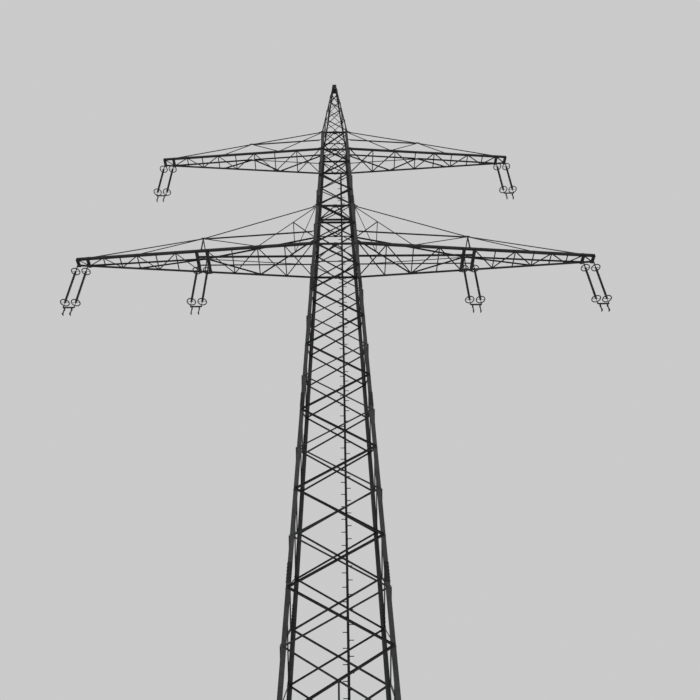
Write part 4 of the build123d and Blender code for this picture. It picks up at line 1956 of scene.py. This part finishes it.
    def clamp(self, x: float, z: float) -> Object:
        """Models a boat-shaped suspension clamp with a bore along the line and two keepers.

        Args:
            x: Its place along the yoke.
            z: Its height.

        Returns:
            The clamp.
        """
        radius, waist, length = self.clamp_radius, self.clamp_waist, self.clamp_length
        body = Shop.cylinder("clamp", radius, length, 12, -length / 2)
        with Shop.editing(body):
            Shop.cut((0, 0, 1), -0.030, 0.030)
            Shop.pick(body, lambda centre, normal: abs(normal.z) > 0.9)
            Shop.grow((waist, waist, 1))
            bpy.ops.mesh.inset(thickness=radius * waist - self.bore)
            bpy.ops.mesh.bridge_edge_loops()
        Shop.smooth(40)
        parts = [Shop.turned(body, "X")]
        for y in (-0.020, 0.020):
            keeper = Shop.box("keeper", (0.038, 0.013, 0.008), (0, y, radius))
            Shop.eased(keeper, lambda middle, along: abs(along.y) > 0.9, 0.0025, 1)
            parts.append(keeper)
        clamp = Shop.joined("clamp", parts)
        clamp.data.transform(Matrix.Translation((x, 0, z)))
        return clamp

    def whole_string(self) -> tuple[Object, Object]:
        """Models a whole string about its pins.

        Returns:
            The two rods' porcelain, and everything of metal.
        """
        rod = self.rod_body()
        low, middle = self.rod_bottom, self.cap_length / 2
        flipped = self.cap(0)
        flipped.data.transform(Matrix.Rotation(math.pi, 4, "X"))
        flipped.data.transform(Matrix.Translation((0, 0, low - self.cap_length)))
        metal = [
            self.fork(),
            self.cap(-self.cap_start),
            flipped,
            self.ring(-self.cap_start - middle),
            self.ring(low - middle),
            self.tail(),
        ]
        one = Shop.joined("one", metal)
        sides = [Matrix.Translation((hand * self.spacing / 2, 0, 0)) for hand in (-1, 1)]
        pair = Shop.stamped("pair", one, sides)
        glazed = Shop.stamped("glazed", rod, sides)
        parts = [pair, self.yoke()]
        for x in (-self.bundle / 2, self.bundle / 2):
            parts.append(self.hanger(x))
            for drop in (self.clamp_drop, self.clamp_drop + self.bundle):
                parts.append(self.clamp(x, -drop))
        Shop.discard(one, rod)
        return glazed, Shop.joined("metal", parts)


@dataclass
class InsulatorString:
    """One double string on its body, in place of its CAD nodes."""

    name: str
    porcelain: Object
    metal: Object
    pin_drop: float = 0.012

    def build(self) -> None:
        """Sets the string down where its rods hang and hides them."""
        low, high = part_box(f"rods_{self.name}")
        middle = (low + high) / 2
        place = Matrix.Translation((middle.x, middle.y, high.z - self.pin_drop))
        body = f"string_{self.name}"
        rods = Shop.stamped(f"porcelain_{self.name}", self.porcelain, [place])
        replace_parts(hand_over(rods, body, Finish.GLAZE), f"rods_{self.name}")
        metal = Shop.stamped(f"fittings_{self.name}", self.metal, [place])
        hand_over(metal, body, Finish.FITTING)
        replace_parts(metal, f"yoke_{self.name}")


# The studio


@dataclass
class Studio:
    """Floor, soft light and the camera at the photograph's angle."""

    tower: TowerShape
    distance: float = 13.23
    eye_height: float = 0.80
    tilt: float = 38.83
    roll: float = -0.43
    lens: float = 36.79
    shift: tuple[float, float] = (0.0187, 0.1096)
    floor_size: float = 260.0

    def floor(self) -> None:
        """A plain pale floor."""
        Shop.clear()
        bpy.ops.mesh.primitive_plane_add(size=self.floor_size, location=self.tower.axis)
        floor = Shop.settle("studio_floor")
        graph = Graph("pale_floor")
        cloud = graph.noise(0.2, 2.0)
        colour = graph.mix(cloud, grey(0.60), grey(0.66))
        floor.data.materials.append(graph.finish({"Base Color": colour, "Roughness": 0.9}))

    def light(self) -> None:
        """A pale surround and a large soft sun behind the tower."""
        world = bpy.data.worlds.new("pale_surround")
        world.use_nodes = True
        background = world.node_tree.nodes["Background"]
        background.inputs["Color"].default_value = grey(0.78)
        background.inputs["Strength"].default_value = 0.76
        bpy.context.scene.world = world
        bpy.context.scene.view_settings.view_transform = "Standard"
        for name, power, angle, turn in (
            ("key", 0.9, 40.0, (38.0, 0.0, 150.0)),
            ("fill", 0.5, 90.0, (55.0, 0.0, -30.0)),
        ):
            lamp = bpy.data.lights.new(name, "SUN")
            lamp.energy = power
            lamp.angle = math.radians(angle)
            sun = bpy.data.objects.new(name, lamp)
            sun.rotation_euler = [math.radians(x) for x in turn]
            bpy.context.scene.collection.objects.link(sun)

    def camera(self) -> None:
        """The camera near the ground in front of the tower, looking up."""
        data = bpy.data.cameras.new("camera")
        data.sensor_width = 36.0
        data.lens = self.lens
        data.shift_x, data.shift_y = self.shift
        data.clip_end = 400.0
        camera = bpy.data.objects.new("camera", data)
        bpy.context.scene.collection.objects.link(camera)
        place = self.tower.axis + Vector((0, -self.distance, self.eye_height))
        look = Matrix.Rotation(math.radians(90 + self.tilt), 4, "X")
        roll = Matrix.Rotation(math.radians(self.roll), 4, "Z")
        camera.matrix_world = Matrix.Translation(place) @ look @ roll
        bpy.context.scene.camera = camera


def dress_cad_nodes() -> None:
    """Gives every CAD node its finish."""
    for name, node in frame["nodes"].items():
        finish = Finish.STEEL
        if name == "footings":
            finish = Finish.CONCRETE
        elif name.startswith("leg_"):
            finish = Finish.LEG
        elif name.startswith("rods_"):
            finish = Finish.GLAZE
        elif name.startswith("yoke_") or name == "peak_cap":
            finish = Finish.FITTING
        Paint.on(node, finish)


def main() -> None:
    """Builds every sub-assembly and the studio, in order."""
    logging.basicConfig(level=logging.INFO, format="%(message)s")
    low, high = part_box("peak_cap")
    tower = TowerShape(axis=Vector(((low.x + high.x) / 2, (low.y + high.y) / 2, 0)))
    half = tower.half(tower.lower_arm_z)
    lower = ArmShape(
        tower=tower,
        z=tower.lower_arm_z,
        top_z=tower.lower_top_z,
        reach=7.545,
        flange=0.070,
        king=3.875,
        foot=2.225,
        outer_foot=5.750,
        bays=((half, 3.700, 4, 0.955), (4.000, 7.200, 6, 0.94)),
        king_on_line=False,
    )
    upper = ArmShape(
        tower=tower,
        z=tower.upper_arm_z,
        top_z=tower.upper_top_z,
        reach=5.780,
        flange=0.060,
        king=2.825,
        foot=1.875,
        outer_foot=3.750,
        bays=((tower.half(tower.upper_arm_z), 5.435, 8, 0.925),),
        king_on_line=True,
    )
    dress_cad_nodes()
    hardware = Hardware()
    FaceJoints(tower, hardware).build()
    LegSplices(tower, hardware).build()
    RingPlates(tower, hardware).build()
    RingAngles(tower).build()
    PeakPlates(tower, hardware).build()
    ClimbingRail(tower).build()
    ArmJoints("lower", lower, hardware).build()
    ArmJoints("upper", upper, hardware).build()
    hardware.discard()
    chord = RolledAngle(width=0.040, depth=0.034, wall=0.004)
    brace = RolledAngle(width=0.034, depth=0.030, wall=0.004)
    ArmTrusses("lower", lower, chord, brace).build()
    ArmTrusses("upper", upper, chord, brace).build()
    chord.discard()
    brace.discard()
    Walkway(lower).build()
    porcelain, metal = StringKit().whole_string()
    for body in frame["bodies"]:
        if body.startswith("string_"):
            InsulatorString(body[len("string_"):], porcelain, metal).build()
    Shop.discard(porcelain, metal)
    studio = Studio(tower)
    studio.floor()
    studio.light()
    studio.camera()


if __name__ == "__main__":
    main()
